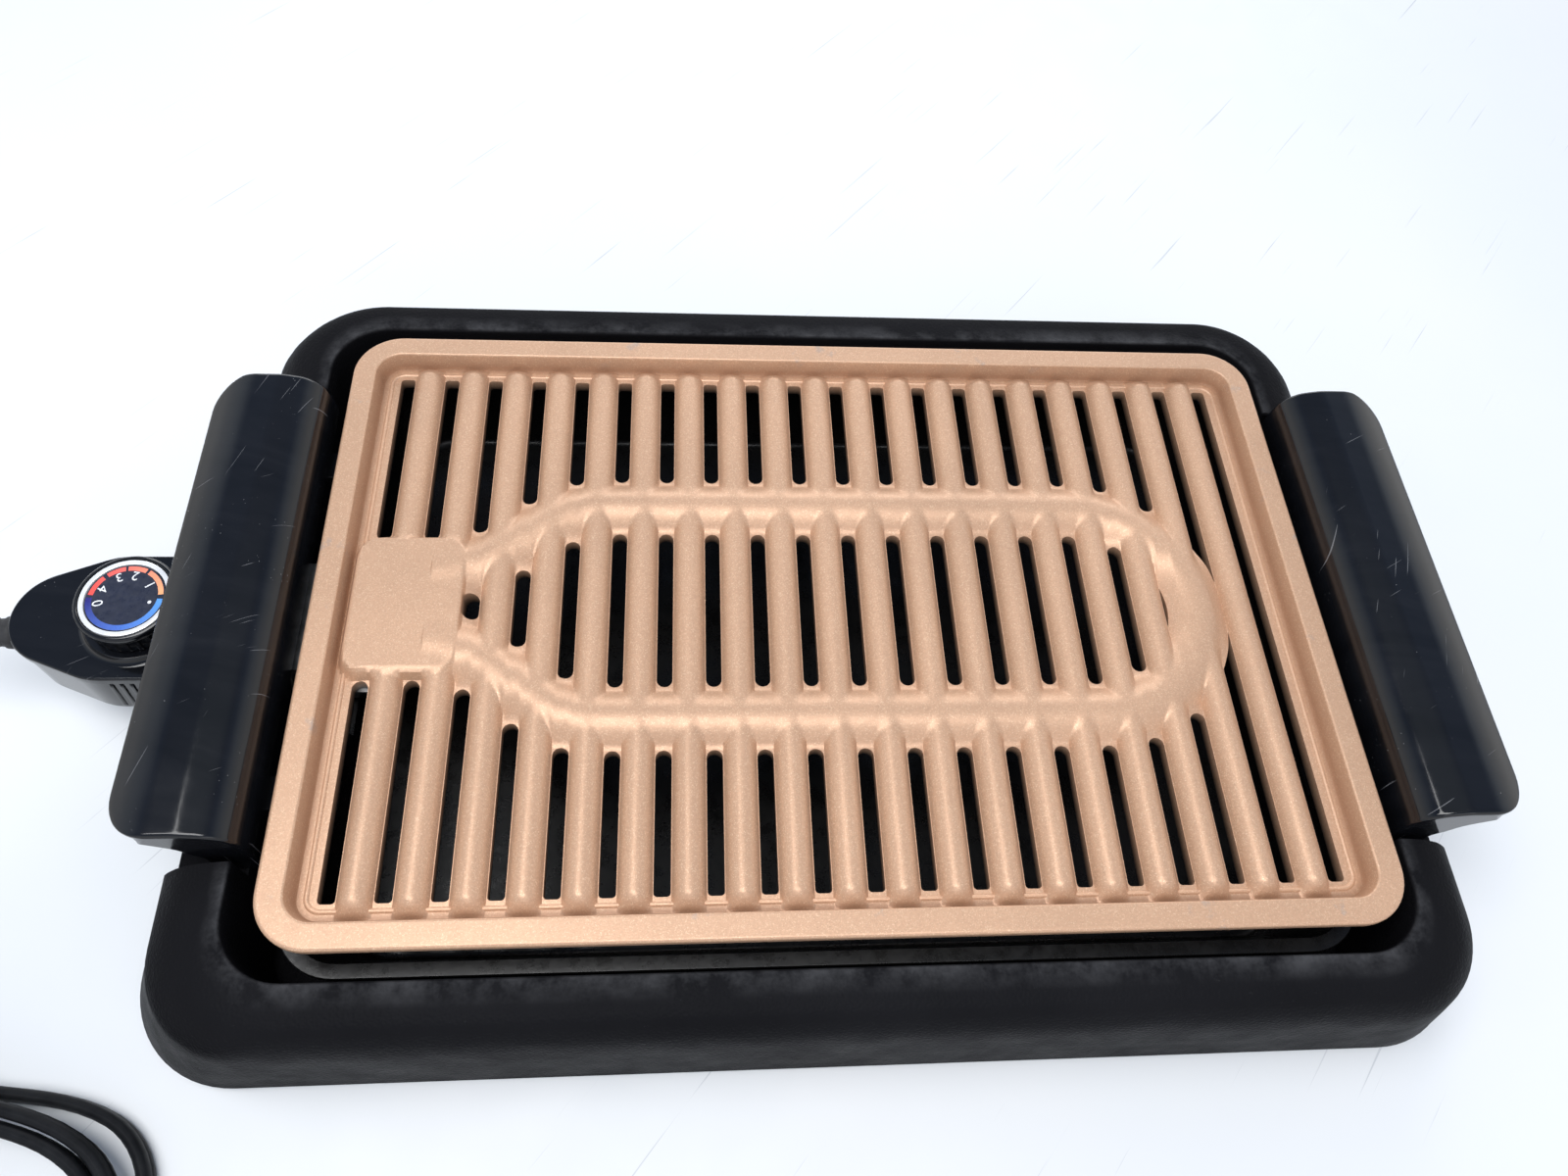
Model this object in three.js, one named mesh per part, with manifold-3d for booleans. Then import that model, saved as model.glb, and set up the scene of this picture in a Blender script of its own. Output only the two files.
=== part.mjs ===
// Electric indoor grill: cast grill plate with its heating element and two handles, drip tray,
// moulded base, and a plug-in temperature control on a flat mains lead tied in a hank.
// Millimetres. x runs along the grill, y away from the user, z up from the table.
import * as THREE from 'three';
import { mergeVertices } from 'three/addons/utils/BufferGeometryUtils.js';
import Module from 'manifold-3d';

const wasm = await Module();
wasm.setup();

// Clearance between neighbours, overrun of every cut, and the distance at which points are one
const clearance = 0.3;
const overrun = 6;
const weld = 0.0001;

// Base: well for the tray, rolled rim and skirt, notches for the handles, port for the control.
// The plate hangs in its well with more room at the right, so the base's middle is offset.
const baseLength = 492.6;
const baseWidth = 312.4;
const baseOffset = -2.9;
const baseCorner = 39.6;
const skirtLip = 3.5;
const rimHeight = 66.5;
const wellLength = 398;
const wellWidth = 267.6;
const wellCorner = 22;
const wellFloor = 8.7;
const baseWall = 2.6;
const notchWidth = 191;
const notchRecess = 4;
const ledgeHeight = 49.5;
const portWidth = 60;
const portFloor = 26.5;
const floorRibLength = 300;
const floorRibSpacing = 140;
const floorRibWidth = 4;
const floorRibRise = 1.5;
// Rim and skirt from the well outwards: fall, reach at the short ends, reach at the long sides
const rimShares = [
  [0, 0, 0], [0.035, 0.22, 0.64], [0.085, 0.36, 0.76], [0.15, 0.46, 0.84], [0.23, 0.55, 0.89],
  [0.325, 0.6, 0.92], [0.53, 0.72, 0.95], [0.95, 0.97, 0.99], [1, 1, 1],
];

// Rubber feet, their stems pushed into the well's floor
const footRadius = 9;
const footStemRadius = 3.2;
const footSpacingX = 320;
const footSpacingY = 196;
const footTaperShare = 0.87;
const footEdgeShare = 0.3;

// Drip tray, which leaves a gap to the well's walls
const trayGapX = 11.5;
const trayGapY = 3.8;
const trayLength = wellLength - 2 * trayGapX;
const trayWidth = wellWidth - 2 * trayGapY;
const trayCorner = 18;
const trayTop = 49;
const trayFlange = 3.4;
const trayLip = 3;
const trayWall = 1.2;
const trayDraft = 9;
const trayNotchWidth = 74;
const trayNotchFloor = 29.5;

// Cast grill plate: rim, pan, pocket and the bead round its floor, all inside the well
const plateGapX = 7.5;
const plateGapY = 8.1;
const plateLength = wellLength - 2 * plateGapX;
const plateWidth = wellWidth - 2 * plateGapY;
const plateCorner = 19;
const plateTop = 70.5;
const flangeWidth = 9.3;
const flangeThickness = 3.7;
const flangeEdge = 1.3;
const webTop = 62;
const webThickness = 4.5;
const pocketWall = 3;
const pocketCorner = 10;
const pocketDraft = 1.7;
const beadInset = 3.6;
const beadWidth = 2.4;
const beadRise = 1.2;
// Edge of the rim: inset, then height in its thickness
const flangeShares = [[1, 0], [0, 0.3], [0, 0.72], [0.35, 0.94], [1, 1]];

// Slots and the ribs between them, inside the bead
const slotColumns = 20;
const slotWidth = 5.8;
const slotMarginX = 2.3;
const slotMarginY = 1.2;
const slotCorner = 1.4;
const slotFieldX = plateLength - 2 * (flangeWidth + beadInset + beadWidth + slotMarginX);
const slotFieldY = plateWidth - 2 * (flangeWidth + beadInset + beadWidth + slotMarginY);
const slotPitch = (slotFieldX - slotWidth) / (slotColumns - 1);
const ribRise = 5.5;
const ribOverrun = 0.8;
const ribSpan = slotFieldY + 2 * ribOverrun;
const ribEdge = 0.2;
const ribEndLength = 6.5;
// End of a rib: place along its dome, then height
const ribEndShares = [[0, 0.3], [1, 1]];

// Ridge over the element: two legs, a round bend, and a flat pad over the terminals
const legSpacing = 90.6;
const bendCentreX = 99.3;
const ridgeWidth = 23;
const ridgeRise = 6.2;
const slotStandOff = 0.8;
const convergeX = -88;
const convergeLength = 62;
const terminalSpacing = 30;
const padLength = 41;
const padWidth = 58;
const padRise = 6;
const padCorner = 8;
const padSlope = 3;
const padSlot = 30;
const crescentReach = 1;
// Section of the ridge from its foot to its crest: half width, height
const ridgeShares = [[1, 0], [0.74, 0.58], [0.39, 0.935], [0, 1]];
const padShares = [[1, 0], [0.3, 0.72], [-1, 1]];

// Tubular element in its groove, with terminal pins and ceramic bushes
const elementRadius = 4;
const elementHeight = 60;
const elementSides = 8;
const elementSteps = 72;
const terminalHeight = 44;
const elementEndX = -172;
const elementRiseX = -163;
const elementRiseLength = 28;
const pinRadius = 3;
const pinEndX = -198;
const bushRadius = 4.5;
const bushLength = 4.2;

// Boss on the plate's underside that takes the control's probe
const bossLength = 18;
const bossWidth = 15;
const bossEndX = -142;
const bossBottom = 38;

// Steel guard round the terminals
const guardMouthX = -200;
const guardLength = 33;
const guardWidth = 45;
const guardBottom = 32.6;
const guardSheet = 1.2;
const guardTabWidth = 9;
const guardTabLength = 11;

// Handles, each with two tabs that reach under the plate
const handleGap = 5;
const handleReach = 40.8;
const handleRise = 35.2;
const handleWidth = 186.4;
const handleWall = 3;
const handleCorner = 16;
const archWidth = 62;
const archTop = 60.8;
const archCorner = 6;
const tabSpacing = 138;
const tabWidth = 12.5;
const tabThickness = 3.2;
const tabReach = 22;
const tabScrewX = 180;
// Outside of a handle from its foot over the top to its lip: reach, height
const handleShares = [
  [0, 0], [0, 0.46], [0.018, 0.63], [0.057, 0.785], [0.126, 0.885], [0.205, 0.945], [0.31, 0.977],
  [0.42, 1], [0.655, 1], [0.83, 0.95], [1, 0.87],
];
// Lower edge of its end walls from the lip to the foot: reach, height
const handleEndShares = [[0.747, 0.81], [0.54, 0.616], [0.471, 0.46], [0.402, 0.347], [0.398, 0]];

// Pan-head screws
const screwRadius = 1.75;
const screwHeadRadius = 3.6;
const screwHeadHeight = 2.2;
const screwHeadTopRadius = 2.2;
const driveWidth = 0.9;
const driveDepth = 1;
const blindDepth = 3.6;

// Temperature control: housing
const controlTop = 57;
const controlBottom = 31;
const controlNoseX = -203.5;
const controlWidth = 52;
const controlBodyX = -264;
const controlTailX = -282.5;
const controlTailRadius = 19;
const controlNoseCorner = 5;
const controlWall = 2;
const lidHeight = 3.6;
const lidOverhang = 0.8;
const lidBevel = 0.9;
const gripRibs = 7;
const gripPitch = 3.5;
const gripWidth = 1.6;
const gripRise = 0.7;
const gripSlant = 2.4;
const gripX = -243.5;
const gripMargin = 2;
const lidBossRadius = 3.6;
const lidBossX = -232;
const lidBossSpacing = 37;
const tailBossX = -273.5;

// Temperature control: contact block, sleeves, probe, thermostat
const blockWidth = 41;
const blockHeight = 17.4;
const blockFrontX = -179.5;
const blockBackX = -214;
const sleeveRadius = 4.2;
const sleeveBackX = -222;
const probeRadius = 2.8;
const probeTipX = -146;
const probeBackX = -250;
const frameFrontX = -226;
const frameBackX = -267;
const frameWidth = 26;
const frameSheet = 1.5;
const frameTabX = -246;
const frameTabWidth = 9;
const frameTabHeight = 15;
const frameBossRadius = 5;
const frameBossHeight = 7;
const stackX = -235;
const stackY = 8.5;
const stackRadius = 3.6;
const stackHeight = 9;
const washerHeight = 3;
const rivetRadius = 1.4;
const rivetHeadRadius = 2.4;
const bladeWidth = 6;
const bladeThickness = 0.9;
const bladeLength = 27;

// Dial
const dialX = -255.5;
const dialTop = 71;
const dialRadius = 17.7;
const dialCapHeight = 2.4;
const dialBevel = 1.2;
const dialFlutes = 26;
const fluteRadius = 17;
const fluteDepth = 0.6;
const dialRingRadius = 15.7;
const dialFaceRadius = 13.8;
const dialInlay = 1.6;
const dialFaceDrop = 0.3;
const collarRadius = 21;
const collarTopRadius = 18.8;
const collarRise = 2.6;
const dialGap = 0.4;
const spindleRadius = 3;
const spindleFlat = 0.8;
const spindleSeat = 4.5;

// Strain relief
const reliefCollarRadius = 7.35;
const reliefCollarLength = 3;
const reliefRootRadius = 6.2;
const reliefTipRadius = 5;
const reliefLength = 37.5;
const reliefFlange = 3.2;
const reliefRings = 5;
const reliefGroove = 0.8;

// Flat lead: section, rest height, and the route of its free stretch after the relief
const leadWidth = 9;
const leadThickness = 4.6;
const leadRest = 0.3;
const leadSteps = 20;
const leadShares = [[0.5, 0.2], [0.34, 0.5], [-0.34, 0.5], [-0.5, 0.2], [-0.5, -0.2], [-0.34, -0.5], [0.34, -0.5], [0.5, -0.2]];
const leadRoute = [
  [-360.7, -1.1, 43.3], [-370.6, -4.4, 41.5], [-379.6, -9.7, 38.7], [-387.3, -16.8, 35.1],
  [-393.4, -25.2, 31.1], [-397.6, -34.8, 26.7], [-399.8, -45, 22.1], [-399.9, -55.5, 17.7],
  [-397.8, -65.7, 13.7], [-393.8, -75.4, 10.1], [-388, -84, 7.3], [-380.6, -91.4, 5.5],
];

// Hank: an innermost loop drawn in at its waist, with turns winding in below and out again above
const hankWaist = [-319.4, -162.5];
const hankHeading = -28;
const hankHalfRun = 65;
const foldRadius = 27;
const farDraw = 16;
const nearDraw = 32;
const runSteps = 6;
const foldSteps = 6;
const fullTurns = 2;
const strandPitch = 5.4;
const layerStep = 9.6;
const layerTurn = -9;
const layerBlend = 30;
const waistLift = 1.3;
const hankTail = 58;
const tieWidth = 9;
const tieThickness = 1;
const tieSlack = 0.8;
const tieCorner = 3;
const gapSamples = 8;
// Section of the lead on edge: half thickness, half width
const hankShares = [[1, -0.5], [1, 0.5], [0, 1], [-1, 0.5], [-1, -0.5], [0, -1]];

// Plug
const plugNeck = 14;
const plugNeckHeight = 11;
const plugNeckWidth = 8;
const plugLength = 28;
const plugWidth = 25;
const plugHeight = 19;
const plugCorner = 4;
const plugBladeSpacing = 12.7;
const plugBladeLength = 16;
const plugBladeWidth = 6.4;
const plugBladeThickness = 1.6;
const plugBladeRoot = 6;
// Plug from its neck to its face: place along the body, then size between neck and body
const plugShares = [[0, 0.35], [0.25, 0.8], [0.55, 1], [0.93, 1], [1, 0.88]];

// Finishes
const finish = (color, roughness, metalness) => new THREE.MeshStandardMaterial({ color, roughness, metalness });
const copperCoating = finish(0xd6a482, 0.38, 0.45);
const grainedBlack = finish(0x2b2b2d, 0.62, 0);
const glossBlack = finish(0x14171c, 0.14, 0);
const enamelBlack = finish(0x1b1b1d, 0.25, 0.1);
const rubberBlack = finish(0x1c1c1e, 0.8, 0);
const leadGrey = finish(0x2a2a2d, 0.6, 0);
const steel = finish(0xa9abad, 0.35, 0.9);
const sheathSteel = finish(0x6f7072, 0.4, 0.8);
const ceramic = finish(0xe8e2d4, 0.7, 0);
const brass = finish(0xb99a52, 0.35, 0.9);
const brightRing = finish(0xe9eaec, 0.2, 0.6);
const navyFace = finish(0x151b33, 0.35, 0);

// A closed geometry as a solid, its faces turned outwards
function solidOf(geometry) {
  const bare = geometry.clone();
  bare.deleteAttribute('normal');
  bare.deleteAttribute('uv');
  const merged = mergeVertices(bare, weld);
  const points = merged.attributes.position.array;
  const corner = (i) => new THREE.Vector3(points[3 * i], points[3 * i + 1], points[3 * i + 2]);
  const kept = [];
  let volume = 0;
  const index = merged.index.array;
  for (let i = 0; i < index.length; i += 3) {
    const [a, b, c] = [index[i], index[i + 1], index[i + 2]];
    if (a === b || b === c || c === a) continue;
    kept.push([a, b, c]);
    volume += corner(a).dot(corner(b).cross(corner(c)));
  }
  const turned = volume < 0 ? kept.map(([a, b, c]) => [a, c, b]) : kept;
  const data = { numProp: 3, vertProperties: points, triVerts: new Uint32Array(turned.flat()) };
  return new wasm.Manifold(new wasm.Mesh(data));
}

function geometryOf(solid) {
  const mesh = solid.getMesh();
  const geometry = new THREE.BufferGeometry();
  geometry.setAttribute('position', new THREE.BufferAttribute(new Float32Array(mesh.vertProperties), 3));
  geometry.setIndex(new THREE.BufferAttribute(new Uint32Array(mesh.triVerts), 1));
  const flat = geometry.toNonIndexed();
  flat.computeVertexNormals();
  return flat;
}

const join = (solids) => solids.reduce((whole, next) => whole.add(next));
const cut = (solid, tools) => tools.reduce((rest, tool) => rest.subtract(tool), solid);
const ends = [['front', -1], ['rear', 1]];
const sides = [['left', -1], ['right', 1]];

// A rectangle with round corners, centred on the origin
function roundedOutline(halfX, halfY, radius, steps = 6) {
  const points = [];
  [[1, 1], [-1, 1], [-1, -1], [1, -1]].forEach(([sx, sy], k) => {
    for (let i = 0; i <= steps; i++) {
      const angle = (k + i / steps) * Math.PI / 2;
      const x = sx * (halfX - radius) + radius * Math.cos(angle);
      points.push(new THREE.Vector2(x, sy * (halfY - radius) + radius * Math.sin(angle)));
    }
  });
  return points;
}

// A regular outline
function regular(radius, count) {
  const angles = Array.from({ length: count }, (_, i) => i * 2 * Math.PI / count);
  return angles.map((a) => new THREE.Vector2(radius * Math.cos(a), radius * Math.sin(a)));
}

// An upright prism between two heights
function prism(outline, bottom, top, hole) {
  const shape = new THREE.Shape(outline);
  if (hole) shape.holes.push(new THREE.Path(hole));
  const geometry = new THREE.ExtrudeGeometry(shape, { depth: top - bottom, bevelEnabled: false });
  return solidOf(geometry.translate(0, 0, bottom));
}

// A box between two corners
function block([x0, y0, z0], [x1, y1, z1]) {
  const box = new THREE.BoxGeometry(Math.abs(x1 - x0), Math.abs(y1 - y0), Math.abs(z1 - z0));
  return solidOf(box.translate((x0 + x1) / 2, (y0 + y1) / 2, (z0 + z1) / 2));
}

// A round bar between two points
function bar(radius, from, to, count = 16) {
  const [start, end] = [new THREE.Vector3(...from), new THREE.Vector3(...to)];
  const along = end.clone().sub(start);
  const rod = new THREE.CylinderGeometry(radius, radius, along.length(), count);
  const turn = new THREE.Quaternion().setFromUnitVectors(new THREE.Vector3(0, 1, 0), along.normalize());
  return solidOf(rod.applyQuaternion(turn).translate(...start.add(end).multiplyScalar(0.5).toArray()));
}

// A solid of revolution about the z axis, from [radius, height] points
function lathe(profile, count = 32) {
  const outline = profile.map(([r, z]) => new THREE.Vector2(r, z));
  return solidOf(new THREE.LatheGeometry(outline, count).rotateX(Math.PI / 2));
}

// A skin over rings of equally many points, closed at both ends
function loft(rings) {
  const count = rings[0].length;
  const index = [];
  for (let r = 0; r + 1 < rings.length; r++) {
    for (let i = 0; i < count; i++) {
      const [a, b] = [r * count + i, r * count + (i + 1) % count];
      index.push(a, b, b + count, a, b + count, a + count);
    }
  }
  const last = (rings.length - 1) * count;
  const cap = THREE.ShapeUtils.triangulateShape(capOutline(rings[0]), []);
  const farCap = THREE.ShapeUtils.triangulateShape(capOutline(rings.at(-1)), []);
  cap.forEach(([a, b, c]) => index.push(a, c, b));
  farCap.forEach(([a, b, c]) => index.push(last + a, last + b, last + c));
  const geometry = new THREE.BufferGeometry();
  const points = rings.flat().flatMap((p) => [p.x, p.y, p.z]);
  geometry.setAttribute('position', new THREE.BufferAttribute(new Float32Array(points), 3));
  geometry.setIndex(index);
  return solidOf(geometry);
}

// A ring laid flat in its own plane, kept counterclockwise about its own normal
function capOutline(ring) {
  const normal = new THREE.Vector3();
  ring.forEach((p, i) => normal.add(p.clone().cross(ring[(i + 1) % ring.length])));
  normal.normalize();
  const aside = Math.abs(normal.z) > Math.SQRT1_2 ? new THREE.Vector3(1, 0, 0) : new THREE.Vector3(0, 0, 1);
  const across = aside.cross(normal).normalize();
  const up = normal.clone().cross(across);
  return ring.map((p) => new THREE.Vector2(p.dot(across), p.dot(up)));
}

const level = (outline, z) => outline.map((p) => new THREE.Vector3(p.x, p.y, z));

// An empty group at a place in another
function groupIn(parent, place = [0, 0, 0], turn = 0) {
  const group = new THREE.Group();
  group.position.set(...place);
  group.rotation.z = turn;
  parent.add(group);
  return group;
}

// A named piece at a place in a group, with a material of its own
function piece(parent, name, solid, material, place = [0, 0, 0]) {
  const mesh = new THREE.Mesh(geometryOf(solid), material.clone());
  mesh.name = name;
  mesh.position.set(...place);
  parent.add(mesh);
  return mesh;
}

const grill = new THREE.Group();
const base = groupIn(grill, [baseOffset, 0, 0]);
const plate = groupIn(grill);
const control = groupIn(grill);

// A slotted screw driven upwards, its head under a seat and its shank above it
function screw(parent, name, length, place) {
  const head = lathe([
    [0, 0], [screwHeadRadius, 0], [screwHeadRadius, screwHeadHeight / 2],
    [screwHeadTopRadius, screwHeadHeight], [0, screwHeadHeight],
  ], 12);
  const point = screwRadius / 2;
  const shank = lathe([[0, -length], [point, -length], [screwRadius, -length + point], [screwRadius, point], [0, point]], 8);
  const drive = block(
    [-screwHeadRadius - overrun, -driveWidth / 2, screwHeadHeight - driveDepth],
    [screwHeadRadius + overrun, driveWidth / 2, screwHeadHeight + overrun],
  );
  piece(parent, name, head.add(shank).subtract(drive), steel, place).rotation.x = Math.PI;
}

const screwHole = (from, to) => bar(screwRadius + clearance, from, to, 8);

// BASE
const wellHalfX = wellLength / 2;
const wellHalfY = wellWidth / 2;
const wellUnderside = wellFloor - baseWall;
const footPlaces = sides.flatMap(([side, sx]) => ends.map(([end, sy]) => (
  { name: `foot_${side}_${end}`, x: sx * footSpacingX / 2, y: sy * footSpacingY / 2 }
)));

// The space under the rim's surface, drawn in and let down by a wall
function rimSpace(inset, drop, bottom) {
  const rings = rimShares.filter((_, i) => !drop || i % 2 === 0).map(([fall, endReach, sideReach]) => {
    const halfX = wellHalfX + endReach * (baseLength - wellLength) / 2 - inset;
    const halfY = wellHalfY + sideReach * (baseWidth - wellWidth) / 2 - inset;
    const radius = wellCorner + (endReach + sideReach) * (baseCorner - wellCorner) / 2 - inset / 2;
    return level(roundedOutline(halfX, halfY, radius), rimHeight - drop - fall * (rimHeight - skirtLip));
  });
  if (bottom < skirtLip - drop) rings.push(rings.at(-1).map((p) => new THREE.Vector3(p.x, p.y, bottom)));
  return loft(rings.reverse());
}

function baseShell() {
  const farX = baseLength / 2 + overrun;
  const high = rimHeight + overrun;
  const outer = rimSpace(0, 0, skirtLip);
  const recessed = rimSpace(notchRecess, 0, skirtLip);
  const skin = outer.subtract(rimSpace(baseWall, baseWall, -overrun));
  const innerSkin = recessed.subtract(rimSpace(notchRecess + baseWall, baseWall, -overrun));
  const tubOutline = roundedOutline(wellHalfX + baseWall, wellHalfY + baseWall, wellCorner + baseWall);
  const tub = prism(tubOutline, wellUnderside, rimHeight - baseWall / 2);
  const well = prism(roundedOutline(wellHalfX, wellHalfY, wellCorner), wellFloor, high);
  let shell = skin.add(tub);
  for (const [, side] of sides) {
    const nearX = side * (wellHalfX - overrun);
    const notch = block([nearX, -notchWidth / 2, -overrun], [side * farX, notchWidth / 2, high]);
    const ledgeSpace = block(
      [nearX, -notchWidth / 2, ledgeHeight - baseWall], [side * farX, notchWidth / 2, ledgeHeight],
    );
    const below = block(
      [nearX, -(notchWidth + baseWall) / 2, -overrun], [side * farX, (notchWidth + baseWall) / 2, ledgeHeight],
    );
    const notched = join([innerSkin, tub, recessed.intersect(ledgeSpace)]).intersect(below);
    const bulkheads = ends.map(([, end]) => outer.intersect(block(
      [side * wellHalfX, end * notchWidth / 2, -overrun],
      [side * farX, end * (notchWidth / 2 + baseWall), high],
    )));
    shell = join([shell.subtract(notch), notched, ...bulkheads]);
  }
  const lining = recessed.intersect(block(
    [-farX, -portWidth / 2 - baseWall, portFloor - baseWall], [-wellHalfX, portWidth / 2 + baseWall, ledgeHeight],
  ));
  const port = block([-farX, -portWidth / 2, portFloor], [-wellHalfX + overrun, portWidth / 2, high]);
  const ribs = ends.map(([, end]) => block(
    [-floorRibLength / 2, (end * floorRibSpacing - floorRibWidth) / 2, wellFloor - baseWall / 2],
    [floorRibLength / 2, (end * floorRibSpacing + floorRibWidth) / 2, wellFloor + floorRibRise],
  ));
  const stems = footPlaces.map(({ x, y }) => bar(
    footStemRadius + clearance, [x, y, wellUnderside - overrun], [x, y, wellFloor + overrun],
  ));
  return cut(join([cut(shell.add(lining), [well, port]), ...ribs]), stems);
}

piece(base, 'base_shell', baseShell(), grainedBlack);

for (const { name, x, y } of footPlaces) {
  const seat = wellUnderside - clearance;
  const foot = lathe([
    [0, 0], [footRadius * footTaperShare, 0], [footRadius, seat * footEdgeShare], [footRadius, seat],
    [footStemRadius, seat], [footStemRadius, wellFloor - clearance], [0, wellFloor - clearance],
  ], 16);
  piece(base, name, foot, rubberBlack, [x, y, 0]);
}

// DRIP TRAY
function dripTray() {
  const floor = wellFloor + floorRibRise + clearance;
  const pan = (inset, bottom, top) => {
    const [halfX, halfY] = [trayLength / 2 - trayFlange - inset, trayWidth / 2 - trayFlange - inset];
    return loft([
      level(roundedOutline(halfX - trayDraft, halfY - trayDraft, trayCorner - inset), bottom),
      level(roundedOutline(halfX, halfY, trayCorner - inset), top),
    ]);
  };
  const rim = (inset) => roundedOutline(trayLength / 2 - inset, trayWidth / 2 - inset, trayCorner + trayFlange - inset);
  const flange = prism(rim(0), trayTop - trayWall, trayTop);
  const lip = prism(rim(0), trayTop - trayLip, trayTop, rim(trayWall));
  const notch = block(
    [-trayLength / 2 - overrun, -trayNotchWidth / 2, trayNotchFloor],
    [-trayLength / 2 + trayFlange + trayDraft, trayNotchWidth / 2, trayTop + overrun],
  );
  return cut(join([pan(0, floor, trayTop), flange, lip]), [pan(trayWall, floor + trayWall, trayTop + trayWall), notch]);
}

piece(base, 'drip_tray', dripTray(), enamelBlack);

// GRILL PLATE
const plateHalfX = plateLength / 2;
const plateHalfY = plateWidth / 2;
const pocketX = plateHalfX - flangeWidth;
const pocketY = plateHalfY - flangeWidth;
const webBottom = webTop - webThickness;
const webMiddle = webTop - webThickness / 2;
const legY = legSpacing / 2;
const terminalY = terminalSpacing / 2;
const convergeEndX = convergeX - convergeLength;

// Distance of a leg's centreline from the middle, and its slope
function legOffset(x) {
  const t = Math.min(1, Math.max(0, (x - convergeEndX) / convergeLength));
  return terminalY + (legY - terminalY) * t * t * (3 - 2 * t);
}

function legSlope(x) {
  const t = Math.min(1, Math.max(0, (x - convergeEndX) / convergeLength));
  return (legY - terminalY) * 6 * t * (1 - t) / convergeLength;
}

// Half width left at x by the ridge's outer (1) or inner (-1) edge, where slots stop short of it
function slotLimit(x, side) {
  const reach = side * (ridgeWidth / 2 + slotStandOff);
  if (x < bendCentreX) return legOffset(x) + reach * Math.hypot(1, legSlope(x));
  return Math.sqrt(Math.max(0, (legY + reach) ** 2 - (x - bendCentreX) ** 2));
}

function rib(x) {
  const half = (slotPitch - slotWidth) / 2 - ribEdge;
  const places = ribEndShares.map(([along, rise]) => [ribSpan / 2 - along * ribEndLength, rise]);
  const stations = [...places, ...places.map(([y, rise]) => [-y, rise]).reverse()];
  return loft(stations.map(([y, rise]) => {
    const arch = Array.from({ length: 5 }, (_, i) => Math.PI * i / 4).map((angle) => (
      new THREE.Vector3(x + half * Math.cos(angle), y, webTop + ribRise * rise * Math.sin(angle))
    ));
    return [...arch, new THREE.Vector3(x - half, y, webMiddle), new THREE.Vector3(x + half, y, webMiddle)];
  }));
}

function ridge() {
  const half = ridgeShares.map(([w, h]) => [w * ridgeWidth / 2, webTop + h * ridgeRise]);
  const section = [...half, ...half.slice(0, -1).reverse().map(([w, z]) => [-w, z])];
  section.push([-ridgeWidth / 2, webMiddle], [ridgeWidth / 2, webMiddle]);
  const leg = Array.from({ length: 8 }, (_, i) => convergeEndX + convergeLength * i / 7).map((x) => (
    [x, -legOffset(x), Math.atan(-legSlope(x))]
  ));
  const bend = Array.from({ length: 15 }, (_, i) => Math.PI * i / 14).map((turn) => (
    [bendCentreX + legY * Math.sin(turn), -legY * Math.cos(turn), turn]
  ));
  const back = leg.map(([x, y, heading]) => [x, -y, Math.PI - heading]).reverse();
  return loft([...leg, ...bend, ...back].map(([x, y, heading]) => section.map(([w, z]) => (
    new THREE.Vector3(x - w * Math.sin(heading), y + w * Math.cos(heading), z)
  ))));
}

// One slot between two places in y, each end round or square with small corners
function slot(x, from, to, roundFrom, roundTo) {
  const half = slotWidth / 2;
  const outline = [];
  const turn = (cx, cy, radius, quarter, steps) => {
    for (let i = 0; i <= steps; i++) {
      const angle = (quarter + i / steps) * Math.PI / 2;
      outline.push(new THREE.Vector2(cx + radius * Math.cos(angle), cy + radius * Math.sin(angle)));
    }
  };
  const [low, high] = [roundFrom ? half : slotCorner, roundTo ? half : slotCorner];
  const [lowSteps, highSteps] = [roundFrom ? 2 : 1, roundTo ? 2 : 1];
  turn(x + half - high, to - high, high, 0, highSteps);
  turn(x - half + high, to - high, high, 1, highSteps);
  turn(x - half + low, from + low, low, 2, lowSteps);
  turn(x + half - low, from + low, low, 3, lowSteps);
  return prism(outline, webBottom - overrun, webTop + ridgeRise + overrun);
}

function slots() {
  const found = [];
  const end = slotFieldY / 2;
  const disc = (radius) => bar(radius, [bendCentreX, 0, webBottom - 2 * overrun], [bendCentreX, 0, plateTop + overrun], 48);
  const outerRadius = legY + ridgeWidth / 2 + slotStandOff;
  const innerRadius = legY - ridgeWidth / 2 - slotStandOff;
  for (let k = 0; k < slotColumns; k++) {
    const x = (k - (slotColumns - 1) / 2) * slotPitch;
    const pastPad = x > convergeEndX + slotPitch / 2;
    const outer = pastPad ? slotLimit(x, 1) : padSlot;
    const inner = pastPad ? slotLimit(x, -1) : 0;
    if (outer === 0) found.push(slot(x, -end, end, false, false));
    else if (x - bendCentreX > legY) found.push(slot(x, -end, end, false, false).subtract(disc(outerRadius)));
    else found.push(slot(x, outer, end, true, false), slot(x, -end, -outer, false, true));
    if (inner > slotWidth / 2) found.push(slot(x, -inner, inner, true, true));
    const gap = x - slotWidth / 2 - bendCentreX;
    if (inner === 0 && gap > 0 && gap < innerRadius + crescentReach) {
      found.push(slot(x, -legY, legY, true, true).intersect(disc(innerRadius + crescentReach)));
    }
  }
  return join(found);
}

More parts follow.
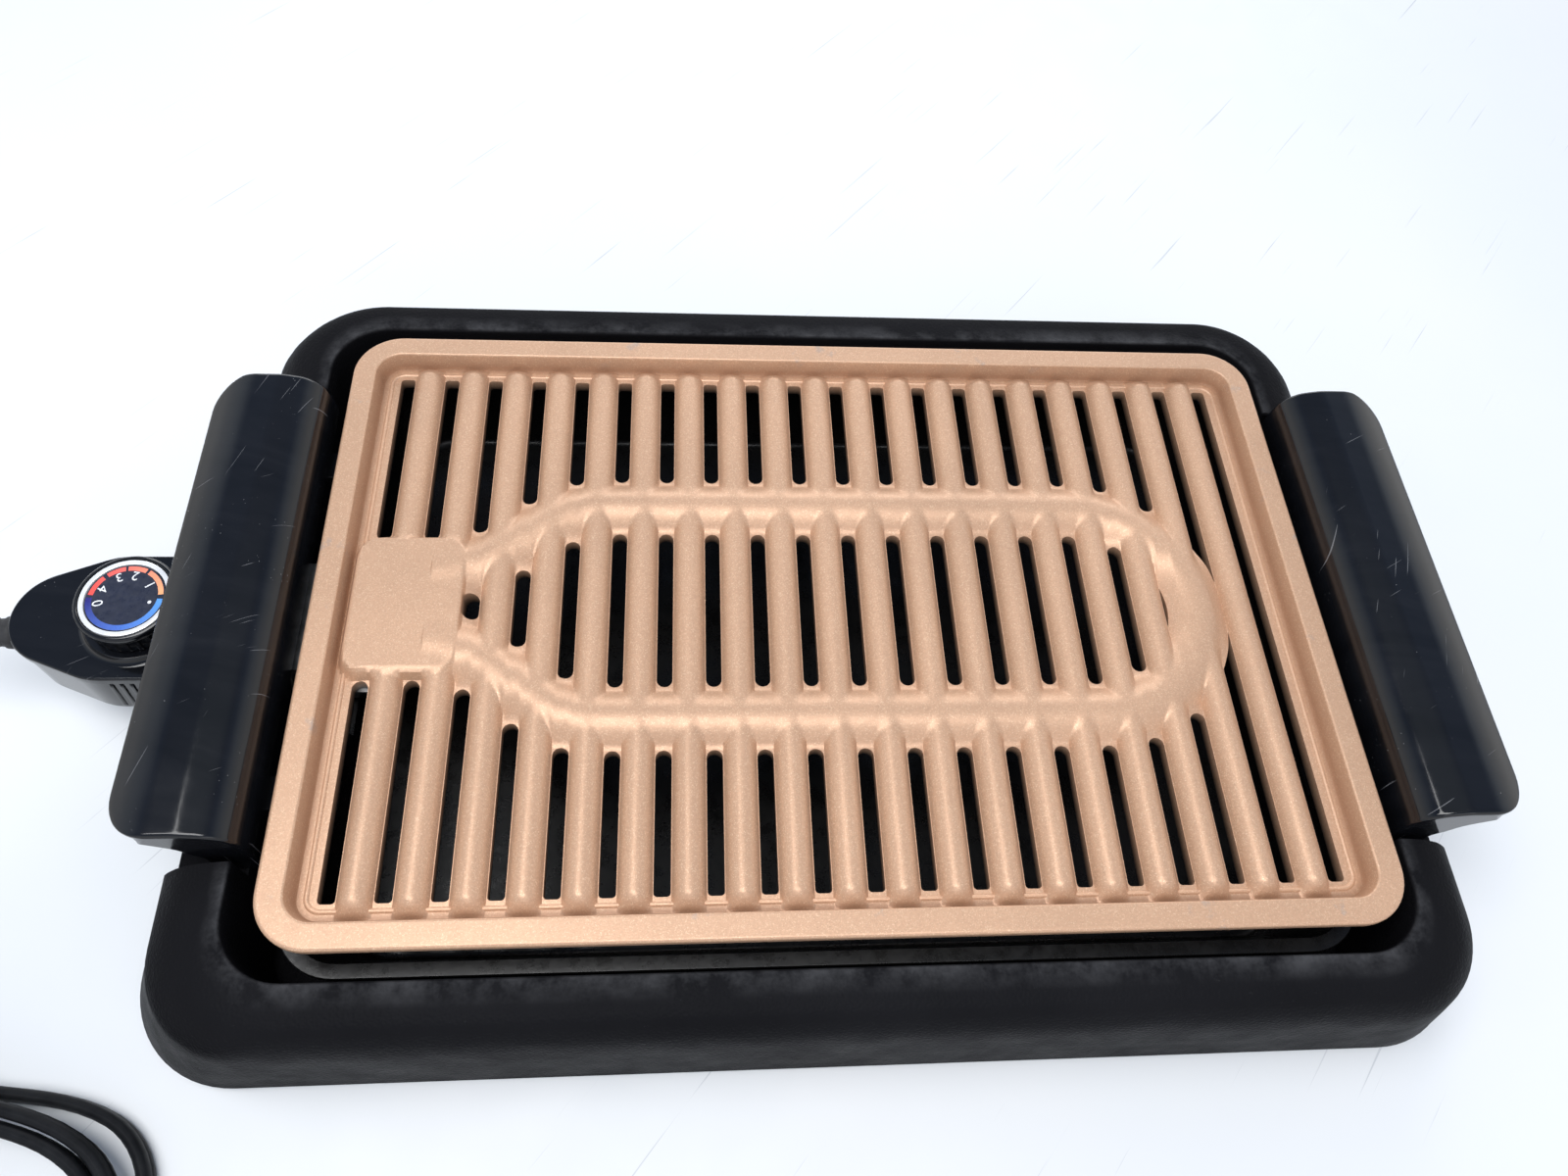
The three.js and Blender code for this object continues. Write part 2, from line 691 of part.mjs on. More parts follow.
// Route of the element from one terminal, round the bend and back
function elementCurve() {
  const riseEndX = elementRiseX + elementRiseLength;
  const rise = elementHeight - terminalHeight;
  const leg = [[elementEndX, terminalY, terminalHeight]];
  for (let i = 0; i <= 4; i++) {
    const t = i / 4;
    leg.push([elementRiseX + t * elementRiseLength, legOffset(elementRiseX + t * elementRiseLength), terminalHeight + rise * t * t * (3 - 2 * t)]);
  }
  for (let i = 1; i <= 6; i++) {
    const x = riseEndX + (convergeX - riseEndX) * i / 6;
    leg.push([x, legOffset(x), elementHeight]);
  }
  for (let i = 1; i <= 3; i++) leg.push([convergeX + (bendCentreX - convergeX) * i / 4, legY, elementHeight]);
  const bend = Array.from({ length: 13 }, (_, i) => Math.PI * i / 12).map((turn) => (
    [bendCentreX + legY * Math.sin(turn), legY * Math.cos(turn), elementHeight]
  ));
  const back = leg.map(([x, y, z]) => [x, -y, z]).reverse();
  const points = [...leg, ...bend, ...back].map((p) => new THREE.Vector3(...p));
  return new THREE.CatmullRomCurve3(points, false, 'centripetal');
}

const elementPath = elementCurve();

// A section carried along the element; its first axis points down
function alongElement(outline) {
  const settings = { steps: elementSteps, extrudePath: elementPath, bevelEnabled: false };
  return solidOf(new THREE.ExtrudeGeometry(new THREE.Shape(outline), settings));
}

const guardScrewX = guardMouthX + guardLength - guardTabLength / 2;
const guardScrewY = (guardWidth + guardTabWidth) / 2;
const blindTop = webBottom + blindDepth;

function grillPlate() {
  const rim = loft(flangeShares.map(([inset, rise]) => level(roundedOutline(
    plateHalfX - inset * flangeEdge, plateHalfY - inset * flangeEdge, plateCorner - inset * flangeEdge,
  ), plateTop - (1 - rise) * flangeThickness)));
  const pan = prism(
    roundedOutline(pocketX + pocketWall, pocketY + pocketWall, pocketCorner + pocketWall),
    webBottom, plateTop - flangeThickness / 2,
  );
  const floor = (inset, z) => level(roundedOutline(pocketX - inset, pocketY - inset, pocketCorner - inset), z);
  const pocket = loft([floor(pocketDraft, webTop), floor(0, plateTop), floor(0, plateTop + overrun)]);
  const bead = prism(
    roundedOutline(pocketX - beadInset, pocketY - beadInset, pocketCorner - beadInset), webMiddle, webTop + beadRise,
    roundedOutline(pocketX - beadInset - beadWidth, pocketY - beadInset - beadWidth, pocketCorner - beadInset - beadWidth),
  );
  const padX = beadInset + padLength / 2 - pocketX;
  const padRing = (grow, z) => roundedOutline(padLength / 2 + grow, padWidth / 2 + grow, padCorner + grow)
    .map((p) => new THREE.Vector3(p.x + padX, p.y, z));
  const pad = loft([
    padRing(padSlope / 2, webMiddle),
    ...padShares.map(([grow, rise]) => padRing(grow * padSlope / 2, webTop + rise * padRise)),
  ]);
  const boss = block([bossEndX - bossLength, -bossWidth / 2, bossBottom], [bossEndX, bossWidth / 2, webMiddle]);
  const ribs = Array.from({ length: slotColumns - 1 }, (_, k) => rib((k + 1 - slotColumns / 2) * slotPitch));
  const cast = join([rim.add(pan).subtract(pocket), bead, ...ribs, ridge(), pad, boss]);
  const reach = elementRadius + clearance;
  const groove = alongElement([[-reach, -reach], [reach + overrun, -reach], [reach + overrun, reach], [-reach, reach]]
    .map(([down, aside]) => new THREE.Vector2(down, aside)));
  const holes = [bar(probeRadius + clearance, [bossEndX - bossLength - overrun, 0, terminalHeight],
    [bossEndX + overrun, 0, terminalHeight])];
  for (const [, end] of ends) {
    const guardPlace = [guardScrewX, end * guardScrewY];
    holes.push(screwHole([...guardPlace, webBottom - overrun], [...guardPlace, blindTop]));
    for (const [, side] of sides) {
      const place = [side * tabScrewX, end * tabSpacing / 2];
      holes.push(screwHole([...place, webBottom - overrun], [...place, blindTop]));
    }
  }
  return cut(cast, [slots(), groove, ...holes]);
}

piece(plate, 'grill_plate', grillPlate(), copperCoating);

// HEATING ELEMENT, PINS AND GUARD
piece(plate, 'heating_element', alongElement(regular(elementRadius, elementSides)), sheathSteel);

for (const [name, end] of ends) {
  const at = (x) => [x, end * terminalY, terminalHeight];
  const start = elementEndX - clearance;
  piece(plate, `terminal_pin_${name}`, bar(pinRadius, at(start), at(pinEndX)), steel);
  const bush = bar(bushRadius, at(start), at(start - bushLength));
  const bore = bar(pinRadius + clearance, at(start + overrun), at(start - bushLength - overrun));
  piece(plate, `pin_bush_${name}`, bush.subtract(bore), ceramic);
}

const guardTop = webBottom - clearance;
const guardBackX = guardMouthX + guardLength;

function terminalGuard() {
  const cup = block([guardMouthX, -guardWidth / 2, guardBottom], [guardBackX, guardWidth / 2, guardTop]);
  const inside = block(
    [guardMouthX - overrun, -guardWidth / 2 + guardSheet, guardBottom + guardSheet],
    [guardBackX - guardSheet, guardWidth / 2 - guardSheet, guardTop - guardSheet],
  );
  const tabs = block(
    [guardBackX - guardTabLength, -guardWidth / 2 - guardTabWidth, guardTop - guardSheet],
    [guardBackX, guardWidth / 2 + guardTabWidth, guardTop],
  );
  const through = (radius, y) => bar(radius, [guardBackX - overrun, y, terminalHeight], [guardBackX + overrun, y, terminalHeight]);
  const holes = [through(probeRadius + 3 * clearance, 0)];
  for (const [, end] of ends) {
    holes.push(through(elementRadius + clearance, end * terminalY));
    const place = [guardScrewX, end * guardScrewY];
    holes.push(screwHole([...place, guardTop - overrun], [...place, guardTop + overrun]));
  }
  return cut(cup.add(tabs), [inside, ...holes]);
}

piece(plate, 'terminal_guard', terminalGuard(), steel);

for (const [name, end] of ends) {
  const seat = guardTop - guardSheet - clearance;
  screw(plate, `guard_screw_${name}`, blindTop - clearance - seat, [guardScrewX, end * guardScrewY, seat]);
}

// HANDLES
const handleX = plateHalfX + handleGap;
const handleFoot = ledgeHeight + clearance;
const tabTop = webBottom - clearance;
const tabBottom = tabTop - tabThickness;

function handle(side, arched) {
  const at = ([reach, rise]) => new THREE.Vector2(handleX + reach * handleReach, handleFoot + rise * handleRise);
  const outside = handleShares.map(at);
  const inside = outside.map((p, i) => {
    const heading = outside[Math.min(i + 1, outside.length - 1)].clone().sub(outside[Math.max(i - 1, 0)]).normalize();
    return new THREE.Vector2(p.x + heading.y * handleWall, p.y - heading.x * handleWall);
  });
  const extruded = (points, low, high) => solidOf(
    new THREE.ExtrudeGeometry(new THREE.Shape(points), { depth: high - low, bevelEnabled: false })
      .rotateX(Math.PI / 2).translate(0, high, 0),
  );
  const half = handleWidth / 2;
  const skin = extruded([...outside, ...inside.reverse()], -half, half);
  const endOutline = [...outside, ...handleEndShares.map(at)];
  const walls = [extruded(endOutline, -half, -half + handleWall), extruded(endOutline, half - handleWall, half)];
  const farX = handleX + handleReach;
  const plan = new THREE.Shape();
  plan.moveTo(handleX - overrun, -half);
  plan.lineTo(farX - handleCorner, -half);
  plan.absarc(farX - handleCorner, -half + handleCorner, handleCorner, -Math.PI / 2, 0);
  plan.absarc(farX - handleCorner, half - handleCorner, handleCorner, 0, Math.PI / 2);
  plan.lineTo(handleX - overrun, half);
  const footprint = prism(plan.getPoints(4), handleFoot - overrun, handleFoot + handleRise + overrun);
  const tabs = [];
  const holes = [];
  for (const [, end] of ends) {
    const y = end * tabSpacing / 2;
    tabs.push(block([handleX - tabReach, y - tabWidth / 2, tabBottom], [handleX + handleWall / 2, y + tabWidth / 2, tabTop]));
    holes.push(screwHole([tabScrewX, y, tabBottom - overrun], [tabScrewX, y, tabTop + overrun]));
  }
  if (arched) {
    const arch = new THREE.Shape(roundedOutline(archWidth / 2, archTop - handleFoot, archCorner, 3));
    holes.push(solidOf(new THREE.ExtrudeGeometry(arch, { depth: handleWall + 2 * overrun, bevelEnabled: false })
      .rotateX(Math.PI / 2).rotateZ(Math.PI / 2).translate(handleX - overrun, 0, handleFoot)));
  }
  const whole = cut(join([join([skin, ...walls]).intersect(footprint), ...tabs]), holes);
  return side > 0 ? whole : whole.mirror([1, 0, 0]);
}

for (const [sideName, side] of sides) {
  piece(plate, `handle_${sideName}`, handle(side, side < 0), glossBlack);
  for (const [endName, end] of ends) {
    const seat = tabBottom - clearance;
    const place = [side * tabScrewX, end * tabSpacing / 2, seat];
    screw(plate, `handle_screw_${sideName}_${endName}`, blindTop - clearance - seat, place);
  }
}

// CONTROL HOUSING
const seam = controlTop - lidHeight;
const controlTipX = controlTailX - controlTailRadius;
const blockBottom = terminalHeight - blockHeight / 2;
const floorTop = controlBottom + controlWall;
const bossPlaces = [[tailBossX, 0], [lidBossX, -lidBossSpacing / 2], [lidBossX, lidBossSpacing / 2]];

// Plan of the housing drawn in by an inset: square nose, round body, narrower round tail
function controlPlan(inset) {
  const bodyRadius = controlWidth / 2 - inset;
  const lean = Math.acos((controlWidth / 2 - controlTailRadius) / (controlBodyX - controlTailX));
  const plan = new THREE.Shape();
  const noseX = controlNoseX - inset;
  plan.moveTo(noseX, -bodyRadius + controlNoseCorner);
  plan.lineTo(noseX, bodyRadius - controlNoseCorner);
  plan.lineTo(noseX - controlNoseCorner, bodyRadius);
  plan.absarc(controlBodyX, 0, bodyRadius, Math.PI / 2, Math.PI - lean);
  plan.absarc(controlTailX, 0, controlTailRadius - inset, Math.PI - lean, Math.PI + lean);
  plan.absarc(controlBodyX, 0, bodyRadius, Math.PI + lean, Math.PI * 1.5);
  plan.lineTo(noseX - controlNoseCorner, -bodyRadius);
  return plan.getPoints(4);
}

function upperHousing() {
  const low = seam + clearance / 2;
  const lid = loft([level(controlPlan(0), low), level(controlPlan(0), controlTop - lidBevel), level(controlPlan(lidBevel), controlTop)]);
  const hollow = prism(controlPlan(lidOverhang + controlWall), low - overrun, controlTop - controlWall);
  const collar = lathe([
    [0, controlTop - controlWall], [collarRadius, controlTop - controlWall], [collarRadius, controlTop],
    [collarTopRadius, controlTop + collarRise], [0, controlTop + collarRise],
  ], 32).translate([dialX, 0, 0]);
  const bosses = bossPlaces.map(([x, y]) => bar(lidBossRadius, [x, y, floorTop + clearance], [x, y, controlTop - controlWall / 2]));
  const holes = bossPlaces.map(([x, y]) => screwHole([x, y, controlBottom], [x, y, seam]));
  holes.push(bar(spindleRadius + clearance, [dialX, 0, floorTop], [dialX, 0, controlTop + overrun]));
  return cut(join([lid.subtract(hollow), collar, ...bosses]), holes);
}

function lowerHousing() {
  const top = seam - clearance / 2;
  const outer = loft([
    level(controlPlan(lidOverhang + lidBevel), controlBottom), level(controlPlan(lidOverhang), controlBottom + lidBevel),
    level(controlPlan(lidOverhang), top),
  ]);
  const hollow = prism(controlPlan(lidOverhang + controlWall), floorTop, top + overrun);
  const grips = [];
  for (const [, end] of ends) {
    for (let k = 0; k < gripRibs; k++) {
      const x = gripX - k * gripPitch;
      const edge = controlWidth / 2 - lidOverhang;
      const reach = x > controlBodyX ? edge : Math.sqrt(edge ** 2 - (x - controlBodyX) ** 2);
      const ring = (shift, z) => [[-1, -1], [1, -1], [1, 1], [-1, 1]].map(([sx, sy]) => new THREE.Vector3(
        x + shift + sx * gripWidth / 2, end * (reach + (sy > 0 ? gripRise : -controlWall / 2)), z,
      ));
      grips.push(loft([ring(0, controlBottom + gripMargin), ring(gripSlant, top - gripMargin)]));
    }
  }
  const mouth = block(
    [controlNoseX + overrun, -blockWidth / 2 - clearance, blockBottom - clearance],
    [controlNoseX - controlWall - overrun, blockWidth / 2 + clearance, top + overrun],
  );
  const gland = bar(reliefRootRadius + clearance, [controlTailX, 0, terminalHeight], [controlTipX - overrun, 0, terminalHeight]);
  const screwHoles = bossPlaces.map(([x, y]) => screwHole([x, y, controlBottom - overrun], [x, y, floorTop + overrun]));
  return cut(join([outer.subtract(hollow), ...grips]), [mouth, gland, ...screwHoles]);
}

piece(control, 'control_upper_housing', upperHousing(), glossBlack);
piece(control, 'control_lower_housing', lowerHousing(), glossBlack);
bossPlaces.forEach(([x, y], k) => {
  const seat = controlBottom - clearance;
  screw(control, `control_screw_${k + 1}`, seam - clearance - seat - controlWall, [x, y, seat]);
});

// CONTACT BLOCK, SLEEVES AND PROBE
function contactBlock() {
  const body = block([blockFrontX, -blockWidth / 2, blockBottom], [blockBackX, blockWidth / 2, blockBottom + blockHeight]);
  const bores = [-1, 0, 1].map((place) => bar((place ? sleeveRadius : probeRadius) + clearance,
    [blockFrontX + overrun, place * terminalY, terminalHeight], [blockBackX - overrun, place * terminalY, terminalHeight]));
  return cut(body, bores);
}

piece(control, 'contact_block', contactBlock(), ceramic);

for (const [name, end] of ends) {
  const at = (x) => [x, end * terminalY, terminalHeight];
  const sleeve = bar(sleeveRadius, at(blockFrontX - controlWall / 2), at(sleeveBackX));
  const bore = bar(pinRadius + clearance, at(blockFrontX + overrun), at(pinEndX - overrun));
  piece(control, `contact_sleeve_${name}`, sleeve.subtract(bore), brass);
}

function probeTube() {
  const tip = probeTipX - probeRadius;
  const dome = new THREE.SphereGeometry(probeRadius, 16, 8).rotateZ(Math.PI / 2).translate(tip, 0, terminalHeight);
  return bar(probeRadius, [tip, 0, terminalHeight], [probeBackX, 0, terminalHeight]).add(solidOf(dome));
}

piece(control, 'probe_tube', probeTube(), steel);

// THERMOSTAT
const frameSeat = floorTop + clearance;
const frameTop = frameSeat + frameSheet;
const dialBottom = controlTop + collarRise + dialGap;

function thermostatFrame() {
  const plate = block([frameFrontX, -frameWidth / 2, frameSeat], [frameBackX, frameWidth / 2, frameTop]);
  const tab = block(
    [frameTabX, -frameTabWidth / 2, frameSeat], [frameTabX - frameSheet, frameTabWidth / 2, frameTop + frameTabHeight],
  );
  const boss = bar(frameBossRadius, [dialX, 0, frameSeat], [dialX, 0, frameTop + frameBossHeight]);
  return cut(join([plate, tab, boss]), [
    bar(probeRadius + clearance, [frameTabX + overrun, 0, terminalHeight], [frameTabX - overrun, 0, terminalHeight]),
    bar(spindleRadius + clearance, [dialX, 0, frameTop], [dialX, 0, frameTop + frameBossHeight + overrun]),
    bar(rivetRadius + clearance, [stackX, stackY, frameSeat - overrun], [stackX, stackY, frameTop + overrun], 12),
  ]);
}

piece(control, 'thermostat_frame', thermostatFrame(), steel);

// Stack from the frame up: insulator, fixed blade, insulating washer, moving blade, all on one rivet
const stack = groupIn(control, [stackX, stackY, 0]);
const stackDisc = (height) => bar(stackRadius, [0, 0, 0], [0, 0, height]);
const strip = (height) => block([stackRadius, -bladeWidth / 2, 0], [-bladeLength, bladeWidth / 2, height]);
const stacked = [
  ['stack_insulator', stackHeight, stackDisc, ceramic], ['fixed_blade', bladeThickness, strip, brass],
  ['stack_washer', washerHeight, stackDisc, ceramic], ['moving_blade', bladeThickness, strip, brass],
];
let stackZ = frameTop + clearance;
for (const [name, height, shape, material] of stacked) {
  const hole = bar(rivetRadius + clearance, [0, 0, -overrun], [0, 0, height + overrun], 12);
  piece(stack, name, shape(height).subtract(hole), material, [0, 0, stackZ]);
  stackZ += height + clearance;
}
piece(stack, 'stack_rivet', lathe([
  [0, frameSeat], [rivetRadius, frameSeat], [rivetRadius, stackZ],
  [rivetHeadRadius, stackZ], [rivetHeadRadius, stackZ + bladeThickness], [0, stackZ + bladeThickness],
], 12), steel);

// DIAL
const dial = groupIn(control, [dialX, 0, 0]);
const inlayFloor = dialTop - dialInlay;
const socketTop = inlayFloor - dialInlay;

function knob() {
  const flutes = Array.from({ length: dialFlutes * 2 }, (_, i) => {
    const radius = fluteRadius - (i % 2) * fluteDepth;
    const angle = i * Math.PI / dialFlutes;
    return new THREE.Vector2(radius * Math.cos(angle), radius * Math.sin(angle));
  });
  const capBottom = dialTop - dialCapHeight;
  const cap = lathe([
    [0, capBottom - dialBevel], [fluteRadius - fluteDepth, capBottom - dialBevel], [dialRadius, capBottom],
    [dialRadius, dialTop - dialBevel], [dialRadius - dialBevel, dialTop], [0, dialTop],
  ], 36);
  const pocket = bar(dialRingRadius + clearance, [0, 0, inlayFloor], [0, 0, dialTop + overrun], 36);
  const socket = bar(spindleRadius + clearance, [0, 0, dialBottom - overrun], [0, 0, socketTop]);
  return cut(prism(flutes, dialBottom, capBottom).add(cap), [pocket, socket]);
}

piece(dial, 'dial_knob', knob(), glossBlack);
const inlaySeat = inlayFloor + clearance;
piece(dial, 'dial_ring', lathe([
  [dialFaceRadius, inlaySeat], [dialRingRadius, inlaySeat], [dialRingRadius, dialTop - dialFaceDrop],
  [dialRingRadius - dialFaceDrop, dialTop], [dialFaceRadius, dialTop], [dialFaceRadius, inlaySeat],
], 36), brightRing);
piece(dial, 'dial_face', bar(dialFaceRadius - clearance, [0, 0, inlaySeat], [0, 0, dialTop - dialFaceDrop], 36), navyFace);

function spindle() {
  const foot = frameTop + clearance;
  const top = socketTop - clearance;
  const flat = block([spindleRadius - spindleFlat, -spindleRadius, dialBottom], [spindleRadius + overrun, spindleRadius, top + overrun]);
  const seat = bar(spindleSeat, [0, 0, frameTop + frameBossHeight + clearance], [0, 0, frameTop + frameBossHeight + clearance + frameSheet]);
  return bar(spindleRadius, [0, 0, foot], [0, 0, top]).subtract(flat).add(seat);
}

piece(dial, 'dial_spindle', spindle(), steel);

// STRAIN RELIEF
const innerTail = controlTailRadius - lidOverhang - controlWall;
const reliefInnerX = controlTailX - Math.sqrt(innerTail ** 2 - reliefCollarRadius ** 2) + clearance;
const reliefOuterX = controlTipX + lidOverhang - clearance;
const reliefTipX = reliefOuterX - reliefLength;

function strainRelief() {
  const profile = [
    [0, reliefInnerX + reliefFlange], [reliefCollarRadius, reliefInnerX + reliefFlange], [reliefCollarRadius, reliefInnerX],
    [reliefRootRadius, reliefInnerX], [reliefRootRadius, reliefOuterX], [reliefCollarRadius, reliefOuterX],
    [reliefCollarRadius, reliefOuterX - reliefCollarLength],
  ];
  const length = reliefLength - reliefCollarLength;
  for (let k = 0; k < reliefRings * 2; k++) {
    const radius = reliefRootRadius + (reliefTipRadius - reliefRootRadius) * k / (reliefRings * 2 - 1);
    const groove = k % 2 ? 0 : reliefGroove;
    const start = reliefOuterX - reliefCollarLength - length * k / (reliefRings * 2);
    profile.push([radius - groove, start], [radius - groove, start - length / (reliefRings * 2)]);
  }
  profile.push([0, reliefTipX]);
  const geometry = new THREE.LatheGeometry(profile.map(([r, x]) => new THREE.Vector2(r, x)), 12);
  return solidOf(geometry.rotateZ(-Math.PI / 2));
}

piece(control, 'strain_relief', strainRelief(), rubberBlack, [0, 0, terminalHeight]);

// HANK: rings of its centreline with the sideways direction at each, in a group along its run
const heading = THREE.MathUtils.degToRad(hankHeading);
const hank = groupIn(control, [...hankWaist, 0], heading);
const loopSteps = 2 * (runSteps + foldSteps);
const lastStep = fullTurns * loopSteps + 2 * runSteps + foldSteps;
const reversal = loopSteps + runSteps / 2;
const waistShare = (s) => (1 + Math.cos(Math.PI * s / hankHalfRun)) / 2;
const smooth = (t) => (t <= 0 ? 0 : t >= 1 ? 1 : t * t * (3 - 2 * t));

// A place on the innermost loop: far run, right fold, near run, left fold
function innermost(step) {
  const phase = step % loopSteps;
  const along = hankHalfRun * 2 / runSteps;
  const slope = (draw, s) => draw * Math.PI / (2 * hankHalfRun) * Math.sin(Math.PI * s / hankHalfRun);
  if (phase < runSteps) {
    const s = -hankHalfRun + phase * along;
    return { s, n: foldRadius - farDraw * waistShare(s), angle: Math.PI / 2 + Math.atan(slope(farDraw, s)), run: true };
  }
  if (phase < runSteps + foldSteps) {
    const angle = Math.PI / 2 - Math.PI * (phase - runSteps) / foldSteps;
    return { s: hankHalfRun + foldRadius * Math.cos(angle), n: foldRadius * Math.sin(angle), angle };
  }
  if (phase < 2 * runSteps + foldSteps) {
    const s = hankHalfRun - (phase - runSteps - foldSteps) * along;
    return { s, n: nearDraw * waistShare(s) - foldRadius, angle: -Math.PI / 2 - Math.atan(slope(nearDraw, s)), run: true };
  }
  const angle = -Math.PI / 2 - Math.PI * (phase - 2 * runSteps - foldSteps) / foldSteps;
  return { s: -hankHalfRun + foldRadius * Math.cos(angle), n: foldRadius * Math.sin(angle), angle };
}

function hankRing(step) {
  const { s, n, angle, run } = innermost(step);
  const out = strandPitch * Math.abs(step - reversal) / loopSteps;
  const climbing = smooth((step - loopSteps) / runSteps);
  const turned = step <= loopSteps ? 0 : step >= loopSteps + runSteps ? 1 : smooth(s / layerBlend + 0.5);
  const turn = turned * THREE.MathUtils.degToRad(layerTurn);
  const pivot = new THREE.Vector2(0, foldRadius - farDraw);
  const local = new THREE.Vector2(s + out * Math.cos(angle), n + out * Math.sin(angle)).rotateAround(pivot, turn);
  const lift = run ? waistLift * waistShare(s) : 0;
  return {
    centre: new THREE.Vector3(local.x, local.y, leadRest + leadWidth / 2 + lift + climbing * layerStep),
    side: new THREE.Vector3(Math.cos(angle + turn), Math.sin(angle + turn), 0),
  };
}

// A ring further along than another by a length, at another height
function carried(ring, length, z) {
  const along = new THREE.Vector3(ring.side.y, -ring.side.x, 0);
  const centre = ring.centre.clone().addScaledVector(along, length).setZ(z);
  return { centre, side: ring.side };
}

const hankTurns = Array.from({ length: lastStep + 1 }, (_, step) => hankRing(step));
const hankStart = carried(hankTurns[0], -leadWidth, hankTurns[0].centre.z);
const tailStart = hankTurns.at(-1);
const plugZ = leadRest + plugHeight / 2;
const tailDrop = tailStart.centre.z - plugZ;
const tailRings = [0.5, 0.75, 1].map((share) => (
  carried(tailStart, hankTail * share, tailStart.centre.z - tailDrop * smooth(2 * share - 1))
));
tailRings.push(carried(tailStart, hankTail + leadWidth, plugZ));
const hankRings = [hankStart, ...hankTurns, ...tailRings];

const upright = new THREE.Vector3(0, 0, 1);
piece(hank, 'lead_hank', loft(hankRings.map(({ centre, side }) => hankShares.map(([w, h]) => (
  centre.clone().addScaledVector(side, w * leadThickness / 2).addScaledVector(upright, h * leadWidth / 2)
)))), leadGrey);

// Least gap of the hank to itself, from points along its turns more than half a loop apart
function leastGap(rings) {
  const points = rings.slice(1).flatMap((ring, i) => Array.from({ length: gapSamples }, (_, k) => (
    rings[i].centre.clone().lerp(ring.centre, k / gapSamples)
  )));
  let least = Infinity;
  points.forEach((p, i) => {
    for (let j = i + gapSamples * loopSteps / 2; j < points.length; j++) {
      const aside = Math.hypot(p.x - points[j].x, p.y - points[j].y) - leadThickness;
      const above = Math.abs(p.z - points[j].z) - leadWidth;
      least = Math.min(least, Math.max(aside, above));
    }
  });
  return least;
}

console.log(`least gap of the hank to itself: ${leastGap(hankRings).toFixed(2)} mm`);

// FREE STRETCH OF THE LEAD, from the strain relief to the hank
function freeLead() {
  hank.updateMatrix();
  const end = carried(hankStart, -clearance, hankStart.centre.z).centre.applyMatrix4(hank.matrix);
  const points = [
    new THREE.Vector3(reliefTipX - clearance, 0, terminalHeight),
    new THREE.Vector3(reliefTipX - clearance - leadWidth, 0, terminalHeight),
    ...leadRoute.map((p) => new THREE.Vector3(...p)),
    end,
  ];
  const shape = new THREE.Shape(leadShares.map(([w, t]) => new THREE.Vector2(w * leadWidth, t * leadThickness)));
  const route = new THREE.CatmullRomCurve3(points, false, 'centripetal');
  console.log(`lead: ${(route.getLength() + hankLength()).toFixed(0)} mm from the strain relief to the plug`);
  return solidOf(new THREE.ExtrudeGeometry(shape, { steps: leadSteps, extrudePath: route, bevelEnabled: false }));
}

const hankLength = () => hankRings.slice(1).reduce((sum, ring, i) => sum + ring.centre.distanceTo(hankRings[i].centre), 0);

piece(control, 'lead_free', freeLead(), leadGrey);

// Tie round the waist: as wide as the strands that pass there
function tie() {
  const crossing = hankTurns.slice(1).map((ring, i) => [hankTurns[i].centre, ring.centre])
    .filter(([a, b]) => a.x * b.x <= 0).flat().map((p) => p.y);
  const low = Math.min(...crossing) - leadThickness / 2 - tieSlack;
  const high = Math.max(...crossing) + leadThickness / 2 + tieSlack;
  const bottom = leadRest + waistLift - clearance;
  const top = leadRest + waistLift + layerStep + leadWidth + clearance;
  const outline = (grow) => roundedOutline((high - low) / 2 + grow, (top - bottom) / 2 + grow, tieCorner + grow, 3)
    .map((p) => new THREE.Vector2(p.x + (low + high) / 2, p.y + (bottom + top) / 2));
  const shape = new THREE.Shape(outline(tieThickness));
  shape.holes.push(new THREE.Path(outline(0)));
  const ring = new THREE.ExtrudeGeometry(shape, { depth: tieWidth, bevelEnabled: false });
  const turn = THREE.MathUtils.degToRad(layerTurn) / 2;
  return solidOf(ring.translate(0, 0, -tieWidth / 2).rotateX(Math.PI / 2).rotateZ(Math.PI / 2 + turn));
}

piece(hank, 'lead_tie', tie(), rubberBlack);

// PLUG, beyond the end of the hank
const hankEnd = hankRings.at(-1);
const plug = groupIn(hank, hankEnd.centre.toArray(), Math.atan2(-hankEnd.side.x, hankEnd.side.y));
const plugFaceX = clearance + plugNeck + plugLength;

function plugBody() {
  const ring = (x, width, height) => roundedOutline(width / 2, height / 2, Math.min(plugCorner, width / 2, height / 2) * (1 - weld), 3)
    .map((p) => new THREE.Vector3(x, p.x, p.y));
  const rings = [ring(clearance, plugNeckWidth, plugNeckHeight), ring(clearance + plugNeck, plugNeckWidth, plugNeckHeight)];
  for (const [along, size] of plugShares) {
    const [width, height] = [plugNeckWidth, plugNeckHeight].map((neck, k) => neck + size * ([plugWidth, plugHeight][k] - neck));
    rings.push(ring(clearance + plugNeck + (along * (plugLength - clearance) + clearance), width, height));
  }
  const sockets = ends.map(([, end]) => block(
    [plugFaceX - plugBladeRoot, end * plugBladeSpacing / 2 - plugBladeThickness / 2 - clearance, -plugBladeWidth / 2 - clearance],
    [plugFaceX + overrun, end * plugBladeSpacing / 2 + plugBladeThickness / 2 + clearance, plugBladeWidth / 2 + clearance],
  ));
  return cut(loft(rings), sockets);
}

piece(plug, 'plug_body', plugBody(), leadGrey);

